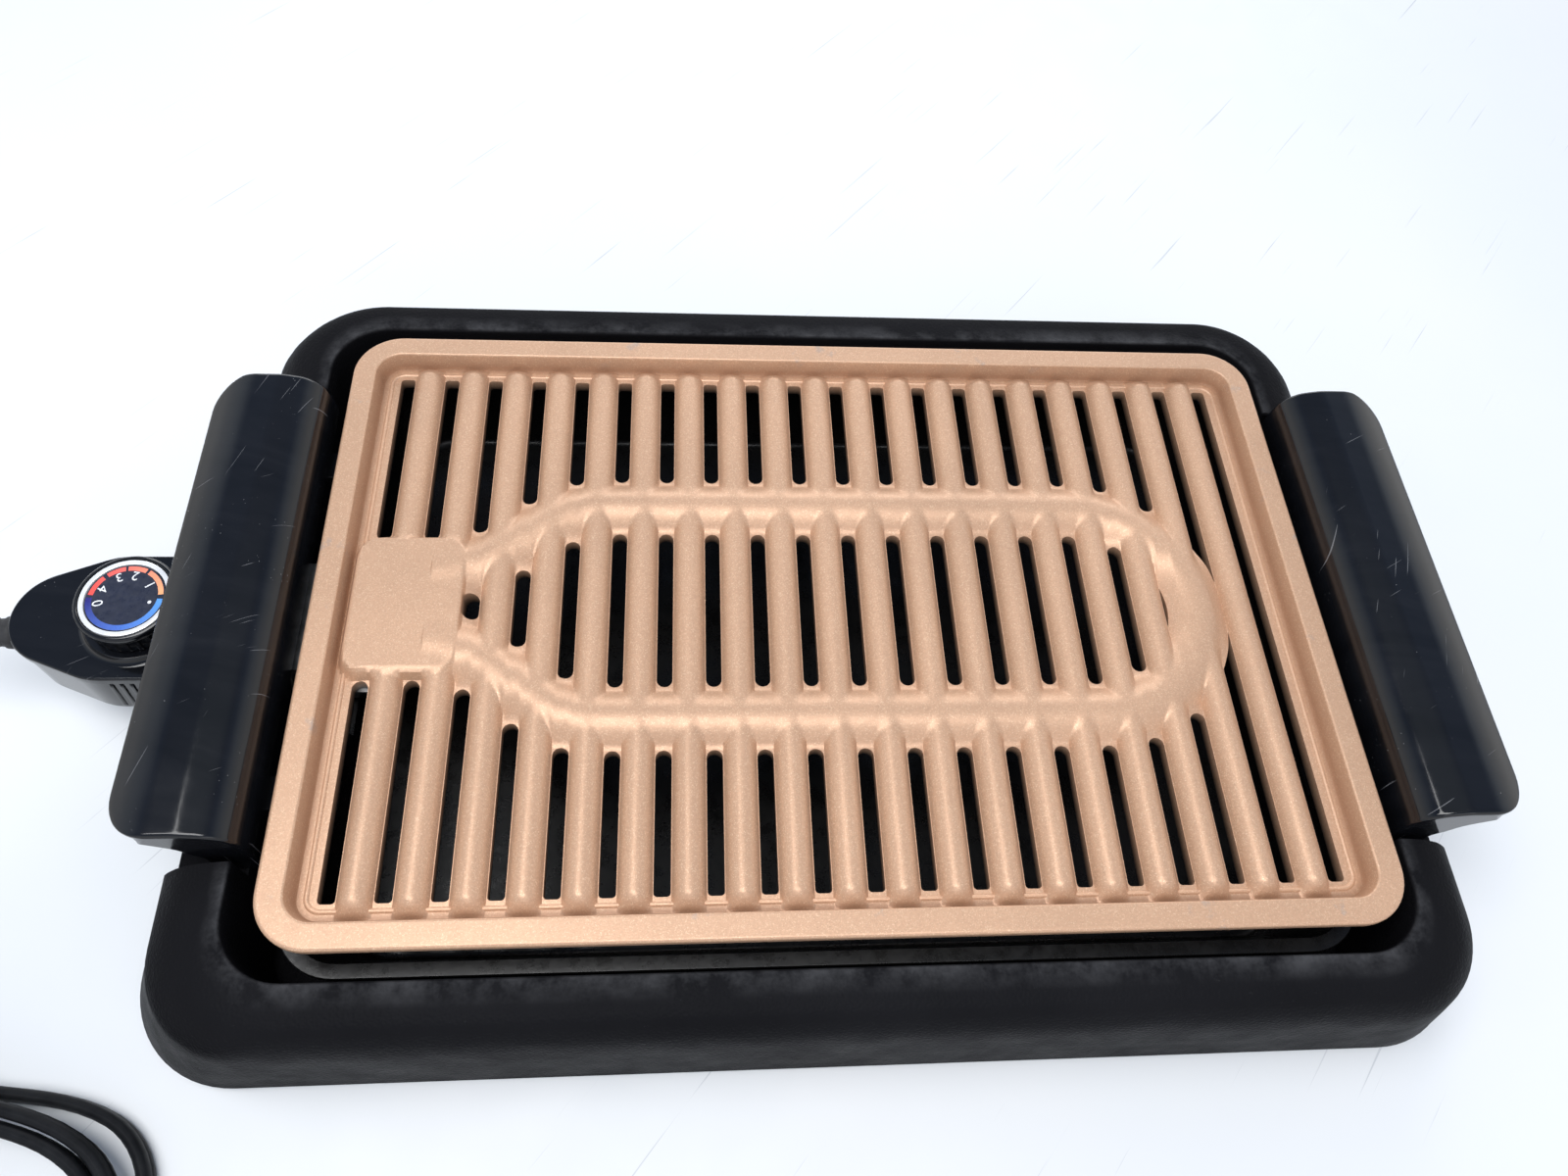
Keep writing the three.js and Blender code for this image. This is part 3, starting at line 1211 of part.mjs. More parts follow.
for (const [name, end] of ends) {
  const blade = block(
    [plugFaceX - plugBladeRoot + clearance, -plugBladeThickness / 2, -plugBladeWidth / 2],
    [plugFaceX + plugBladeLength, plugBladeThickness / 2, plugBladeWidth / 2],
  );
  piece(plug, `plug_blade_${name}`, blade, brass, [0, end * plugBladeSpacing / 2, 0]);
}

// The grill's own box is centred on the origin, from the control's tip to the far end of the base
grill.position.x = -(controlTipX + baseOffset + baseLength / 2) / 2;

export default grill;
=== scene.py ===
import math

import bpy
import numpy as np
from bpy.props import FloatProperty, FloatVectorProperty, IntProperty
from mathutils import Matrix, Vector


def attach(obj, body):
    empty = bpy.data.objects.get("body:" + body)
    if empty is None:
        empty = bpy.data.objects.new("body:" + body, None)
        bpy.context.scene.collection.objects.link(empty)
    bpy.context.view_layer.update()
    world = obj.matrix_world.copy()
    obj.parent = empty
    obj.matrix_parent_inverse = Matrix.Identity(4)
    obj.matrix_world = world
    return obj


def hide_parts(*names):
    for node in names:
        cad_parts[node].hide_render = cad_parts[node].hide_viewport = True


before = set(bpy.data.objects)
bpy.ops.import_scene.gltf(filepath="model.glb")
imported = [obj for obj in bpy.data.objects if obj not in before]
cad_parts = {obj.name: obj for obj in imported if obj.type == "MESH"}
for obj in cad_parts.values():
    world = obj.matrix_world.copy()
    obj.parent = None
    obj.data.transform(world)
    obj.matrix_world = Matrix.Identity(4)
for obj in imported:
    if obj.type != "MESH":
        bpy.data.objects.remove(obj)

# Electric indoor grill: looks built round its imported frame.
# Lengths are millimetres until a mesh is made; x runs along the grill, y away from the user, z up.

bl_info = {
    "name": "Indoor grill",
    "version": (1, 0, 0),
    "blender": (4, 5, 0),
    "location": "View3D > Sidebar > Grill",
    "description": "Pieces, finishes and setting of an electric indoor grill",
    "category": "Object",
}

# Metres from the frame's origin to the plate's middle, from which the millimetres here are counted
SHIFT = 0.02905
GAP = 0.3
ENDS = (-1, 1)

# Base; its plan, like the well's, the tray's and the plate's, is length, width and corner radius
BASE = (492.6, 312.4, 39.6)
# How far the base stands from the plate's middle
BASE_OFFSET = -2.9
SKIRT_LIP = 3.5
RIM_HEIGHT = 66.5
WELL = (398, 267.6, 22)
WELL_FLOOR = 8.7
WELL_ROUNDING = 2.5
# The well's mouth, from its wall over the rim: inset, height over the rim
WELL_MOUTH = ((0, -1.5), (-0.15, -0.9), (-0.5, -0.35), (-1.2, 0.1), (-4, 1))
BASE_WALL = 2.6
NOTCH_WIDTH = 191
NOTCH_RECESS = 4
LEDGE_HEIGHT = 49.5
PORT_WIDTH = 60
PORT_FLOOR = 26.5
# Ribs on the well's floor: length, spacing, width, rise
FLOOR_RIB = (300, 140, 4, 1.5)
# Rim and skirt from the well outwards: fall, reach at the short ends, reach at the long sides
RIM_SHARES = (
    (0, 0, 0), (0.035, 0.22, 0.64), (0.085, 0.36, 0.76), (0.15, 0.46, 0.84), (0.23, 0.55, 0.89),
    (0.325, 0.6, 0.92), (0.53, 0.72, 0.95), (0.95, 0.97, 0.99), (1, 1, 1),
)
FOOT_SPACING = (320, 196)
FOOT_BORE = 3.5

# Tray
TRAY = (375, 260, 18)
TRAY_TOP = 49
TRAY_FLANGE = 3.4
TRAY_LIP = 3
TRAY_WALL = 1.2
TRAY_DRAFT = 9
# Notch beside the terminals: width, lowest point
TRAY_NOTCH = (74, 29.5)

# Plate
PLATE = (383, 251.4, 19)
PLATE_TOP = 70.5
POCKET_INSET = 10.5
WEB_TOP = 62
WEB_BOTTOM = 57.5
# Web's lower step: reach from the plate's edge, depth; then the rim's outer edge and its mouth
WEB_STEP = (15.7, 0.6)
RIM_EDGE = 1.3
RIM_MOUTH = 8.3
# From the pocket's wall over the groove and the bead and back below the rim: inset, height
PLATE_SECTION = (
    (10.5, 64.2), (10.75, 63.1), (11.15, 62.45), (11.7, 62.12), (12.4, 62.04), (12.85, 62.1),
    (13.15, 62.45), (13.5, 62.92), (13.95, 63.18), (14.35, 63.18), (14.8, 62.9), (15.1, 62.4),
    (15.35, 62.06), (15.95, 61.9), (15.95, WEB_BOTTOM), (7, WEB_BOTTOM), (6.3, 58.2), (6.3, 66.3),
    (5.8, 66.8), (1, 66.8), (0.3, 67), (0, 67.5),
)
SLOT_COLUMNS = 20
SLOT_WIDTH = 5.8
SLOT_PITCH = 18
SLOT_FIELD = 218.4
SLOT_CORNER = 1.4
RIB_SPAN = 229
RIB_HALF = 5.9
RIB_END = 6.5
RIB_POWER = 1.4
RIB_STATIONS = (0, 1, 2, 3, 3.9, 4.7, 5.3, 5.7, 5.9, 6.6)
# Ridge over the element: its two legs, and where they draw together towards the terminals
LEG_Y = 45.3
TERMINAL_Y = 15
BEND_X = 99.3
RIDGE_HALF = 11.5
RIDGE_POWERS = (2.1, 1.05)
CONVERGE = (-150, 62)
SLOT_STAND_OFF = 0.8
# Pad: length, width, corner radius, place along the plate; then its rise and its rounded edge
PAD = (41, 58, 8, -158.1)
PAD_RISE = 6
PAD_EDGE = (1.8, 3.8)
PAD_SLOT = 30
# Softness of the creases round the pad, and round the ribs
CREASES = (2, 1.1)
ELEMENT_RADIUS = 4
ELEMENT_HEIGHT = 60
TERMINAL_HEIGHT = 44
# Along the element: its end, the foot and the top of its rise, and where its legs run straight
ELEMENT_STOPS = (-172, -163, -135, -88)
ELEMENT_CHANNEL = 9
# Boss that holds the probe: its two corners
PROBE_BOSS = ((-160, -7.5, 38), (-142, 7.5, 59.5))
SCREW_HOLE_TOP = 61.1
GUARD_SCREW = (-172.5, 27, 55.7)
PROBE_BORE = 3.1
SCREW_BORE = 2.05

# Handles
HANDLE_X = 196.5
HANDLE_FOOT = 49.8
HANDLE_REACH = 40.8
HANDLE_RISE = 35.2
HANDLE_HALF = 93.2
HANDLE_WALL = 3
HANDLE_EDGE = 1.5
HANDLE_CORNER = 16
HANDLE_STATIONS = (0, 0.05, 0.2, 0.45, 0.8, 1.15, 1.5, 2.2, 3, 4, 5.5, 7, 9, 11, 13.5, 16)
# Length along a handle's curve that its corners leave alone
HANDLE_FIXED = 30
ARCH = (62, 60.8, 6)
# Tabs: spacing, width, underside, top, reach; then their screws' place and seat
TAB = (138, 12.5, 54, 57.2, 22)
TAB_SCREW = (180, 53.7)
# Outside of a handle from its foot over the top to its lip: reach, height
HANDLE_SHARES = (
    (0, 0), (0, 0.46), (0.018, 0.63), (0.057, 0.785), (0.126, 0.885), (0.205, 0.945), (0.31, 0.977),
    (0.42, 1), (0.655, 1), (0.83, 0.95), (1, 0.87),
)
HANDLE_END_SHARES = ((0.747, 0.81), (0.54, 0.616), (0.471, 0.46), (0.402, 0.347), (0.398, 0))

# Control
CONTROL_TOP = 57
CONTROL_BOTTOM = 31
SEAM = 53.4
# Nose: place, corner; body: half width, place; tail: place, radius
CONTROL_NOSE = (-203.5, 5)
CONTROL_HALF = 26
CONTROL_BODY_X = -264
CONTROL_TAIL = (-282.5, 19)
LID_OVERHANG = 0.8
CONTROL_WALL = 2
# Mouth for the contact block: half width, lowest point
MOUTH = (20.8, 35)
GLAND_RADIUS = 6.5
# Grip ribs of a side: count, pitch, width, rise, slant, first place
GRIP = (7, 3.5, 1.6, 0.7, 2.4, -243.5)
SCREW_BOSS = 3.6
CONTROL_SCREWS = ((-273.5, 0), (-232, -18.5), (-232, 18.5))
SPINDLE_BORE = 3.3
DIAL_X = -255.5
FLUTE_RADIUS = 16.1
# The dial's figures with their angles, and their reach and height; then the parts of its warm arc, in turns
FIGURES = (("0", 195), ("4", 157), ("3", 115), ("2", 80), ("1", 35), ("•", 348))
FIGURE_SIZE = 5.2
FIGURE_PLACE = (9.3, 70.73)
WARM_ARCS = ((0.014, 0.117), (0.136, 0.219), (0.23, 0.319), (0.333, 0.483))
COOL_START = 0.506
# Inner edge, outer edge of the warm parts and of the blue one
ARC_EDGES = (11.2, 13, 13.3)

# Strain relief's rings: count, pitch, taper from one to the next, first place
RELIEF_RINGS = (5, 6.9, 0.045, -306.4)

# Lead: where it leaves, and its free stretch to the hank, in metres
LEAD_ROUTE = (
    (-0.30975, 0, 0.044), (-0.31875, 0, 0.044), (-0.33165, -0.0011, 0.0433), (-0.34155, -0.0044, 0.0415),
    (-0.35055, -0.0097, 0.0387), (-0.35825, -0.0168, 0.0351), (-0.36435, -0.0252, 0.0311),
    (-0.36855, -0.0348, 0.0267), (-0.37075, -0.045, 0.0221), (-0.37085, -0.0555, 0.0177),
    (-0.36875, -0.0657, 0.0137), (-0.36475, -0.0754, 0.0101), (-0.35895, -0.084, 0.0073),
    (-0.35155, -0.0914, 0.0055),
)
LEAD_HALF = 4.5
# Section: its cores' radius and offset, then the dip between them
LEAD_CORE = (2.3, 2.2)
LEAD_FLUTE = ((2.0, 0.45), (2.3, 1.2))
LEAD_WAIST = 1.85
TABLE_GAP = 0.3
HANK_WAIST = (-319.4, -162.5)
HANK_HEADING = math.radians(-28)
# Steps of the hank's path: round a loop, along each run or fold, and to the middle of the change of layer
LOOP_STEPS = 24
FOLD_STEPS = 6
LAYER_STEPS = 27
HALF_RUN = 65
FOLD_RADIUS = 27
DRAWS = (16, 32)
LAYER_TURN = math.radians(-9)
STRAND_PITCH = 5.4
LAYER_STEP = 9.6
LAYER_BLEND = 30
WAIST_LIFT = 1.3
LAST_STEP = 66
HANK_TAIL = 58
# Plug: neck's length, width and height, then the body's
PLUG = (14, 8, 11, 28, 25, 19)
PLUG_START = 0.3
# From neck to face: share of the length, share of the widening
PLUG_SHARES = (
    (0.04, 0.12), (0.1, 0.3), (0.25, 0.8), (0.4, 0.95), (0.55, 1), (0.9, 1), (0.97, 0.96), (1, 0.88),
)
PLUG_CORNER = 4
BLADE_SPACING = 12.7
BLADE_SOCKET = (1.1, 3.5, 6.3)
# Tie: half width, corner, wall, reach past the strands' centres; then its section in shares of these
TIE = (4.5, 3, 1, 3.1)
TIE_SECTION = (
    (-1, 0.2), (-0.9556, 0), (0.9556, 0), (1, 0.2), (1, 0.75), (0.9333, 1), (-0.9333, 1), (-1, 0.75),
)

# Stage: the camera's place, its sensor's width and its lens in millimetres, its right, down and view
# directions; then the light and the table
CAMERA_PLACE = (-0.02561, -0.20722, 0.43795)
CAMERA_LENS = (36, 25.826)
CAMERA_TURN = (
    (0.996339025, -0.0420765598, 0.0744184768), (0.000645274222, -0.866766816, -0.498713214),
    (0.0854876026, 0.496935458, -0.863566454),
)
# Colour of the room's light from low to high
SKY = (
    (0.2, (1, 1, 1, 1)), (0.5, (0.62, 0.7, 0.82, 1)), (0.72, (0.22, 0.29, 0.44, 1)),
    (0.84, (0.2, 0.25, 0.36, 1)), (0.95, (0.36, 0.42, 0.5, 1)),
)
# Lamps: name, place, aim, size in metres, watts
LAMPS = (
    ("key", (-0.25, -0.3, 1.65), (0, 0, 0), (1.5, 0.8), 29),
    ("fill", (0.7, -1.9, 1.2), (0, 0, 0), (1.6, 0.9), 4),
    ("far", (0.2, 2.3, 1.0), (0, 0.2, 0), (2.6, 0.6), 24),
)
TABLE_HALF = 9000

# Nodes of the frame that are shown as they are, by finish
KEPT_LOOKS = {
    "steel": (
        "terminal_guard", "terminal_pin_front", "terminal_pin_rear", "probe_tube", "thermostat_frame",
        "stack_rivet", "dial_spindle",
    ),
    "ceramic": ("pin_bush_front", "pin_bush_rear", "contact_block", "stack_insulator", "stack_washer"),
    "brass": (
        "contact_sleeve_front", "contact_sleeve_rear", "fixed_blade", "moving_blade", "plug_blade_front",
        "plug_blade_rear",
    ),
}


# MESHES

def hold(name, data):
    """Puts a mesh, a curve, a lamp or a lens in the scene as an object."""
    made = bpy.data.objects.new(name, data)
    bpy.context.scene.collection.objects.link(made)
    return made


def add_object(name, points, faces):
    """Makes an object from millimetre points and faces."""
    mesh = bpy.data.meshes.new(name)
    placed = np.asarray(points, float).reshape(-1, 3) * 0.001 + (SHIFT, 0, 0)
    mesh.from_pydata(placed.tolist(), [], faces)
    return hold(name, mesh)


def discard(made):
    """Removes an object that has served its turn."""
    mesh = made.data
    bpy.data.objects.remove(made)
    bpy.data.meshes.remove(mesh)


def coordinates(mesh):
    """Every vertex of a mesh as rows of metres."""
    found = np.empty(len(mesh.vertices) * 3)
    mesh.vertices.foreach_get("co", found)
    return found.reshape(-1, 3)


def millimetres(mesh):
    """Every vertex of a mesh as rows of the millimetres it was made from."""
    return coordinates(mesh) * 1000 - (SHIFT * 1000, 0, 0)


def face_out(made):
    """Turns a closed mesh's faces outwards."""
    mesh = made.data
    mesh.calc_loop_triangles()
    corners = np.empty(len(mesh.loop_triangles) * 3, int)
    mesh.loop_triangles.foreach_get("vertices", corners)
    a, b, c = coordinates(mesh)[corners.reshape(-1, 3)].transpose(1, 0, 2)
    if np.einsum("ij,ij->", a, np.cross(b, c)) < 0:
        mesh.flip_normals()
    return made


def outline(half_x, half_y, radius, steps=10):
    """Rounded rectangle, anticlockwise from its right side."""
    turn = np.linspace(0, math.pi / 2, steps + 1)
    parts = []
    for k, (sx, sy) in enumerate(((1, 1), (-1, 1), (-1, -1), (1, -1))):
        angle = turn + k * math.pi / 2
        parts.append(np.column_stack((
            sx * (half_x - radius) + radius * np.cos(angle), sy * (half_y - radius) + radius * np.sin(angle),
        )))
    return np.vstack(parts)


def plan(size, inset, steps):
    """Outline of a length, width and corner radius, drawn in."""
    length, width, corner = size
    return outline(length / 2 - inset, width / 2 - inset, corner - inset, steps)


def level(points, z):
    """Plan points at one height."""
    return np.column_stack((points, np.full(len(points), z)))


def loft(name, rings, closed=False):
    """Solid through rings of equal size; a closed one returns to its first ring."""
    rings = np.asarray(rings, float)
    count, size = rings.shape[:2]
    spans = count if closed else count - 1
    i, j = (part.ravel() for part in np.meshgrid(range(spans), range(size), indexing="ij"))
    after, aside = (i + 1) % count, (j + 1) % size
    quads = np.column_stack((i * size + j, i * size + aside, after * size + aside, after * size + j))
    faces = quads.tolist()
    if not closed:
        faces += [list(range(size))[::-1], list(range((count - 1) * size, count * size))]
    return face_out(add_object(name, rings, faces))


def lathe(name, profile, centre=(0, 0), segments=64, closed=False, axis="z", height=0):
    """Solid turned about an upright axis, or about one along x at a height."""
    turn = np.linspace(0, 2 * math.pi, segments, endpoint=False)
    rings = []
    for radius, along in profile:
        ring = np.column_stack((radius * np.cos(turn), radius * np.sin(turn), np.full(segments, along)))
        if axis == "x":
            ring = ring[:, (2, 0, 1)]
        rings.append(ring + (*centre, height))
    return loft(name, rings, closed)


def edge_steps(radius, steps=4):
    """Inset and drop of a rounded edge, from its side to its top."""
    turn = np.linspace(0, math.pi / 2, steps + 1)
    return [(radius * (1 - math.cos(a)), radius * (1 - math.sin(a))) for a in turn]


def pillow(name, ring_at, low, high, radius, steps=4):
    """Solid between two heights with rounded edges; ring_at gives its plan at an inset."""
    rim = edge_steps(radius, steps)
    rings = [level(ring_at(inset), low + drop) for inset, drop in reversed(rim)]
    rings += [level(ring_at(inset), high - drop) for inset, drop in rim]
    return loft(name, rings)


def block(name, low, high, radius=0.4):
    """Upright block with rounded corners and edges."""
    low, high = np.asarray(low, float), np.asarray(high, float)
    middle, half = (low + high)[:2] / 2, (high - low)[:2] / 2
    radius = min(radius, half.min() * 0.9, (high - low)[2] * 0.45)
    ring_at = lambda inset: outline(*(half - inset), max(radius - inset, 0.01) + 0.01, 3) + middle
    return pillow(name, ring_at, low[2], high[2], radius, 3)


def rod(radius, start, end, segments=32):
    """Plain round cutter between two places."""
    start, end = np.asarray(start, float), np.asarray(end, float)
    along = (end - start) / np.linalg.norm(end - start)
    aside = np.cross(along, (0, 0, 1) if abs(along[2]) < 0.9 else (1, 0, 0))
    aside /= np.linalg.norm(aside)
    third = np.cross(along, aside)
    turn = np.linspace(0, 2 * math.pi, segments, endpoint=False)[:, None]
    ring = radius * (np.cos(turn) * aside + np.sin(turn) * third)
    return loft("cutter", [ring + start, ring + end])


def bores(radius, places, low, high, segments=24):
    """Upright round cutters between two heights, one at each place."""
    return [rod(radius, (x, y, low), (x, y, high), segments) for x, y in places]


def settle(made):
    """Replaces an object's mesh by the one its modifiers give."""
    graph = bpy.context.evaluated_depsgraph_get()
    mesh = bpy.data.meshes.new_from_object(made.evaluated_get(graph))
    made.modifiers.clear()
    spent, made.data = made.data, mesh
    bpy.data.meshes.remove(spent)
    mesh.name = made.name
    return made


def carve(made, others, operation="DIFFERENCE"):
    """Cuts solids out of an object, or joins them to it."""
    for other in others:
        step = made.modifiers.new("step", "BOOLEAN")
        step.object, step.operation, step.solver = other, operation, "MANIFOLD"
    settle(made)
    if not len(made.data.polygons):
        raise ValueError(f"nothing is left of {made.name}")
    for other in others:
        discard(other)
    return made


def join(made, *others):
    """Adds closed solids to an object."""
    return carve(made, others, "UNION")


def cut(made, *others):
    """Takes closed solids away from an object."""
    return carve(made, others)


def common(made, other):
    """Keeps what an object shares with a solid."""
    return carve(made, [other], "INTERSECT")


def to_base(made):
    """Moves a piece from the plate's middle to the base's."""
    made.data.transform(Matrix.Translation((BASE_OFFSET * 0.001, 0, 0)))
    return made


def corner_names(name):
    """Names of four like nodes, one at each corner."""
    return [f"{name}_{side}_{end}" for side in ("left", "right") for end in ("front", "rear")]


def mark(made, name, values):
    """Stores one number for each vertex, for the finish to read."""
    layer = made.data.attributes.new(name, "FLOAT", "POINT")
    layer.data.foreach_set("value", np.clip(values, 0, 1).astype(np.float32))


def present(made, body, nodes, slot_name, angle=32, look=None):
    """Smooths a finished piece, gives it its finish and ties it to the frame."""
    mesh = made.data
    mesh.materials.clear()
    mesh.materials.append(looks[look or slot_name])
    mesh.polygons.foreach_set("use_smooth", [True] * len(mesh.polygons))
    mesh.set_sharp_from_angle(angle=math.radians(angle))
    step = made.modifiers.new("normals", "WEIGHTED_NORMAL")
    step.keep_sharp, step.weight = True, 60
    settle(made)
    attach(made, body)
    if nodes:
        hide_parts(*nodes)
    return made


def catmull(points, spacing):
    """Centripetal curve through points, sampled at about a spacing."""
    points = [np.asarray(p, float) for p in points]
    points = [2 * points[0] - points[1], *points, 2 * points[-1] - points[-2]]
    found = []
    for a, b, c, d in zip(points, points[1:], points[2:], points[3:]):
        t0, t1, t2 = (max(np.linalg.norm(q - p), 1e-9) ** 0.5 for p, q in ((a, b), (b, c), (c, d)))
        start = ((b - a) / t0 - (c - a) / (t0 + t1) + (c - b) / t1) * t1
        end = ((c - b) / t1 - (d - b) / (t1 + t2) + (d - c) / t2) * t1
        steps = max(2, round(np.linalg.norm(c - b) / spacing))
        for s in np.arange(steps) / steps:
            found.append((2 * s ** 3 - 3 * s * s + 1) * b + (s ** 3 - 2 * s * s + s) * start
                         + (3 * s * s - 2 * s ** 3) * c + (s ** 3 - s * s) * end)
    return np.array([*found, points[-2]])


def ease(t):
    """Slow start and end between 0 and 1."""
    t = np.clip(t, 0, 1)
    return t * t * (3 - 2 * t)


# NODE TREES

class Tree:
    """A geometry node tree with named inputs, put together here."""

    def __init__(self, name, **inputs):
        self.group = bpy.data.node_groups.new(name, "GeometryNodeTree")
        face = self.group.interface
        face.new_socket("Geometry", in_out="INPUT", socket_type="NodeSocketGeometry")
        self.keys = {}
        for label, (kind, default) in inputs.items():
            socket = face.new_socket(label, in_out="INPUT", socket_type=f"NodeSocket{kind}")
            socket.default_value = default
            self.keys[label] = socket.identifier
        face.new_socket("Geometry", in_out="OUTPUT", socket_type="NodeSocketGeometry")
        self.given = self.group.nodes.new("NodeGroupInput").outputs

    def add(self, kind, inputs=None, **settings):
        """A node with its settings, its inputs fed by values or other nodes' outputs."""
        node = self.group.nodes.new(kind)
        for key, value in settings.items():
            setattr(node, key, value)
        for key, value in (inputs or {}).items():
            for one in value if isinstance(value, list) else [value]:
                if isinstance(one, bpy.types.NodeSocket):
                    self.group.links.new(one, node.inputs[key])
                else:
                    node.inputs[key].default_value = one
        return node

    def geometry(self, kind, inputs=None, **settings):
        return self.add(f"GeometryNode{kind}", inputs, **settings).outputs[0]

    def math(self, operation, *values):
        return self.add("ShaderNodeMath", dict(enumerate(values)), operation=operation).outputs[0]

    def copies(self, points, instance=None, **more):
        """The given shape, or another one, at each point."""
        inputs = {"Points": points, "Instance": instance or self.given["Geometry"], **more}
        return self.geometry("InstanceOnPoints", inputs)

    def row(self, start=(0.0, 0.0, 0.0)):
        """As many points as the count says, each a pitch further back along x."""
        back = self.math("MULTIPLY", self.given["Pitch"], -1.0)
        step = self.add("ShaderNodeCombineXYZ", {"X": back}).outputs[0]
        inputs = {"Count": self.given["Count"], "Start Location": start, "Offset": step}
        return self.geometry("MeshLine", inputs, mode="OFFSET")

    def end(self, geometry, look):
        """Makes the copies real, gives them their finish and closes the tree."""
        real = self.geometry("RealizeInstances", {"Geometry": geometry})
        dressed = self.geometry("SetMaterial", {"Geometry": real, "Material": look})
        self.group.links.new(dressed, self.group.nodes.new("NodeGroupOutput").inputs[0])
        return self


def grow(made, tree, **values):
    """Runs a node tree on an object and keeps the plain mesh."""
    step = made.modifiers.new("grow", "NODES")
    step.node_group = tree.group
    for label, value in values.items():
        step[tree.keys[label]] = value
    settle(made)
    if not len(made.data.polygons):
        raise ValueError(f"{made.name} grew nothing")
    return face_out(made)


# FINISHES

class Look:
    """A procedural material on object coordinates, put together here."""

    def __init__(self, name, **values):
        self.name = name
        self.material = bpy.data.materials.new(name)
        self.material.use_nodes = True
        self.tree = self.material.node_tree
        self.shader = self.tree.nodes["Principled BSDF"]
        self.place = self.add("TexCoord").outputs["Object"]
        self.set(**values)

    def set(self, **values):
        for key, value in values.items():
            self.feed(self.shader.inputs[key.replace("_", " ").title().replace("Ior", "IOR")], value)
        return self

    def finish(self, **values):
        """Sets the last values and keeps the material by its name."""
        looks[self.name] = self.set(**values).material

    def feed(self, socket, value):
        if isinstance(value, bpy.types.NodeSocket):
            self.tree.links.new(value, socket)
        elif socket.type == "RGBA" and len(value) == 3:
            socket.default_value = (*value, 1)
        else:
            socket.default_value = value

    def add(self, kind, inputs=None, **settings):
        node = self.tree.nodes.new(f"ShaderNode{kind}")
        for key, value in settings.items():
            setattr(node, key, value)
        for key, value in (inputs or {}).items():
            self.feed(node.inputs[key], value)
        return node

    def stretched(self, scale, turn=(0, 0, 0)):
        """Object coordinates scaled apart and turned, for streaks."""
        turned = self.add("Mapping", {"Vector": self.place, "Rotation": turn}).outputs[0]
        return self.add("Mapping", {"Vector": turned, "Scale": scale}).outputs[0]

    def noise(self, scale, detail=3, roughness=0.5, place=None, distortion=0):
        return self.add("TexNoise", {
            "Vector": place or self.place, "Scale": scale, "Detail": detail, "Roughness": roughness,
            "Distortion": distortion,
        }).outputs[0]

    def cells(self, scale, output="Distance", feature="F1", place=None, **settings):
        return self.add(
            "TexVoronoi", {"Vector": place or self.place, "Scale": scale}, feature=feature, **settings,
        ).outputs[output]

    def ramp(self, value, *stops):
        """Colours or greys at places along a value."""
        node = self.add("ValToRGB", {"Fac": value})
        marks = node.color_ramp.elements
        while len(marks) < len(stops):
            marks.new(0.5)
        for one, (at, shade) in zip(marks, stops):
            one.position = at
            one.color = (*((shade,) * 3 if isinstance(shade, (int, float)) else shade), 1)
        return node.outputs[0]

    def math(self, operation, *values):
        return self.add("Math", dict(enumerate(values)), operation=operation).outputs[0]

    def mix(self, factor, a, b):
        node = self.add("Mix", data_type="RGBA")
        for index, value in ((0, factor), (6, a), (7, b)):
            self.feed(node.inputs[index], value)
        return node.outputs[2]

    def bump(self, height, distance, strength=1, normal=None):
        inputs = {"Height": height, "Distance": distance, "Strength": strength}
        if normal:
            inputs["Normal"] = normal
        return self.add("Bump", inputs).outputs[0]

    def attribute(self, name):
        return self.add("Attribute", attribute_name=name).outputs["Fac"]


looks = {}

# Plain finishes: fixed values, mottling with its two shades, roughness and grain with their noise
PLAIN_LOOKS = {
    "rubber_black": (
        {"ior": 1.45}, (300, 4), (0.3, (0.014, 0.014, 0.015)), (0.7, (0.03, 0.03, 0.032)),
        (500, 3, 0.55, 0.78), (1900, 3, 0.00006, 0.6),
    ),
    "lead_grey": (
        {"ior": 1.47, "specular_ior_level": 0.12}, (120, 5, 0.6), (0.3, (0.006, 0.0064, 0.0075)),
        (0.75, (0.013, 0.0138, 0.0155)), (240, 4, 0.34, 0.52), (900, 3, 0.00008, 0.5),
    ),
    "ceramic": (
        {"ior": 1.5}, (160, 4), (0.3, (0.56, 0.53, 0.47)), (0.7, (0.7, 0.68, 0.62)),
        (500, 3, 0.45, 0.65), (1700, 3, 0.00007, 0.6),
    ),
    "bright_ring": (
        {"metallic": 0.35}, (260, 3), (0.3, (0.82, 0.83, 0.84)), (0.7, (0.93, 0.93, 0.93)),
        (400, 4, 0.16, 0.3), (1500, 2, 0.00002, 0.5),
    ),
    "print_white": (
        {"ior": 1.45}, (1500, 4), (0.25, (0.42, 0.44, 0.48)), (0.5, (0.78, 0.79, 0.8)),
        (900, 3, 0.4, 0.6), (2500, 2, 0.00002, 0.5),
    ),
}
# Metals: darkest and lightest shade, lowest and highest roughness
METALS = {
    "steel": ((0.2, 0.205, 0.21), (0.36, 0.36, 0.36), 0.28, 0.46),
    "sheath_steel": ((0.09, 0.085, 0.085), (0.2, 0.17, 0.15), 0.32, 0.5),
    "brass": ((0.5, 0.33, 0.12), (0.72, 0.52, 0.23), 0.2, 0.4),
}


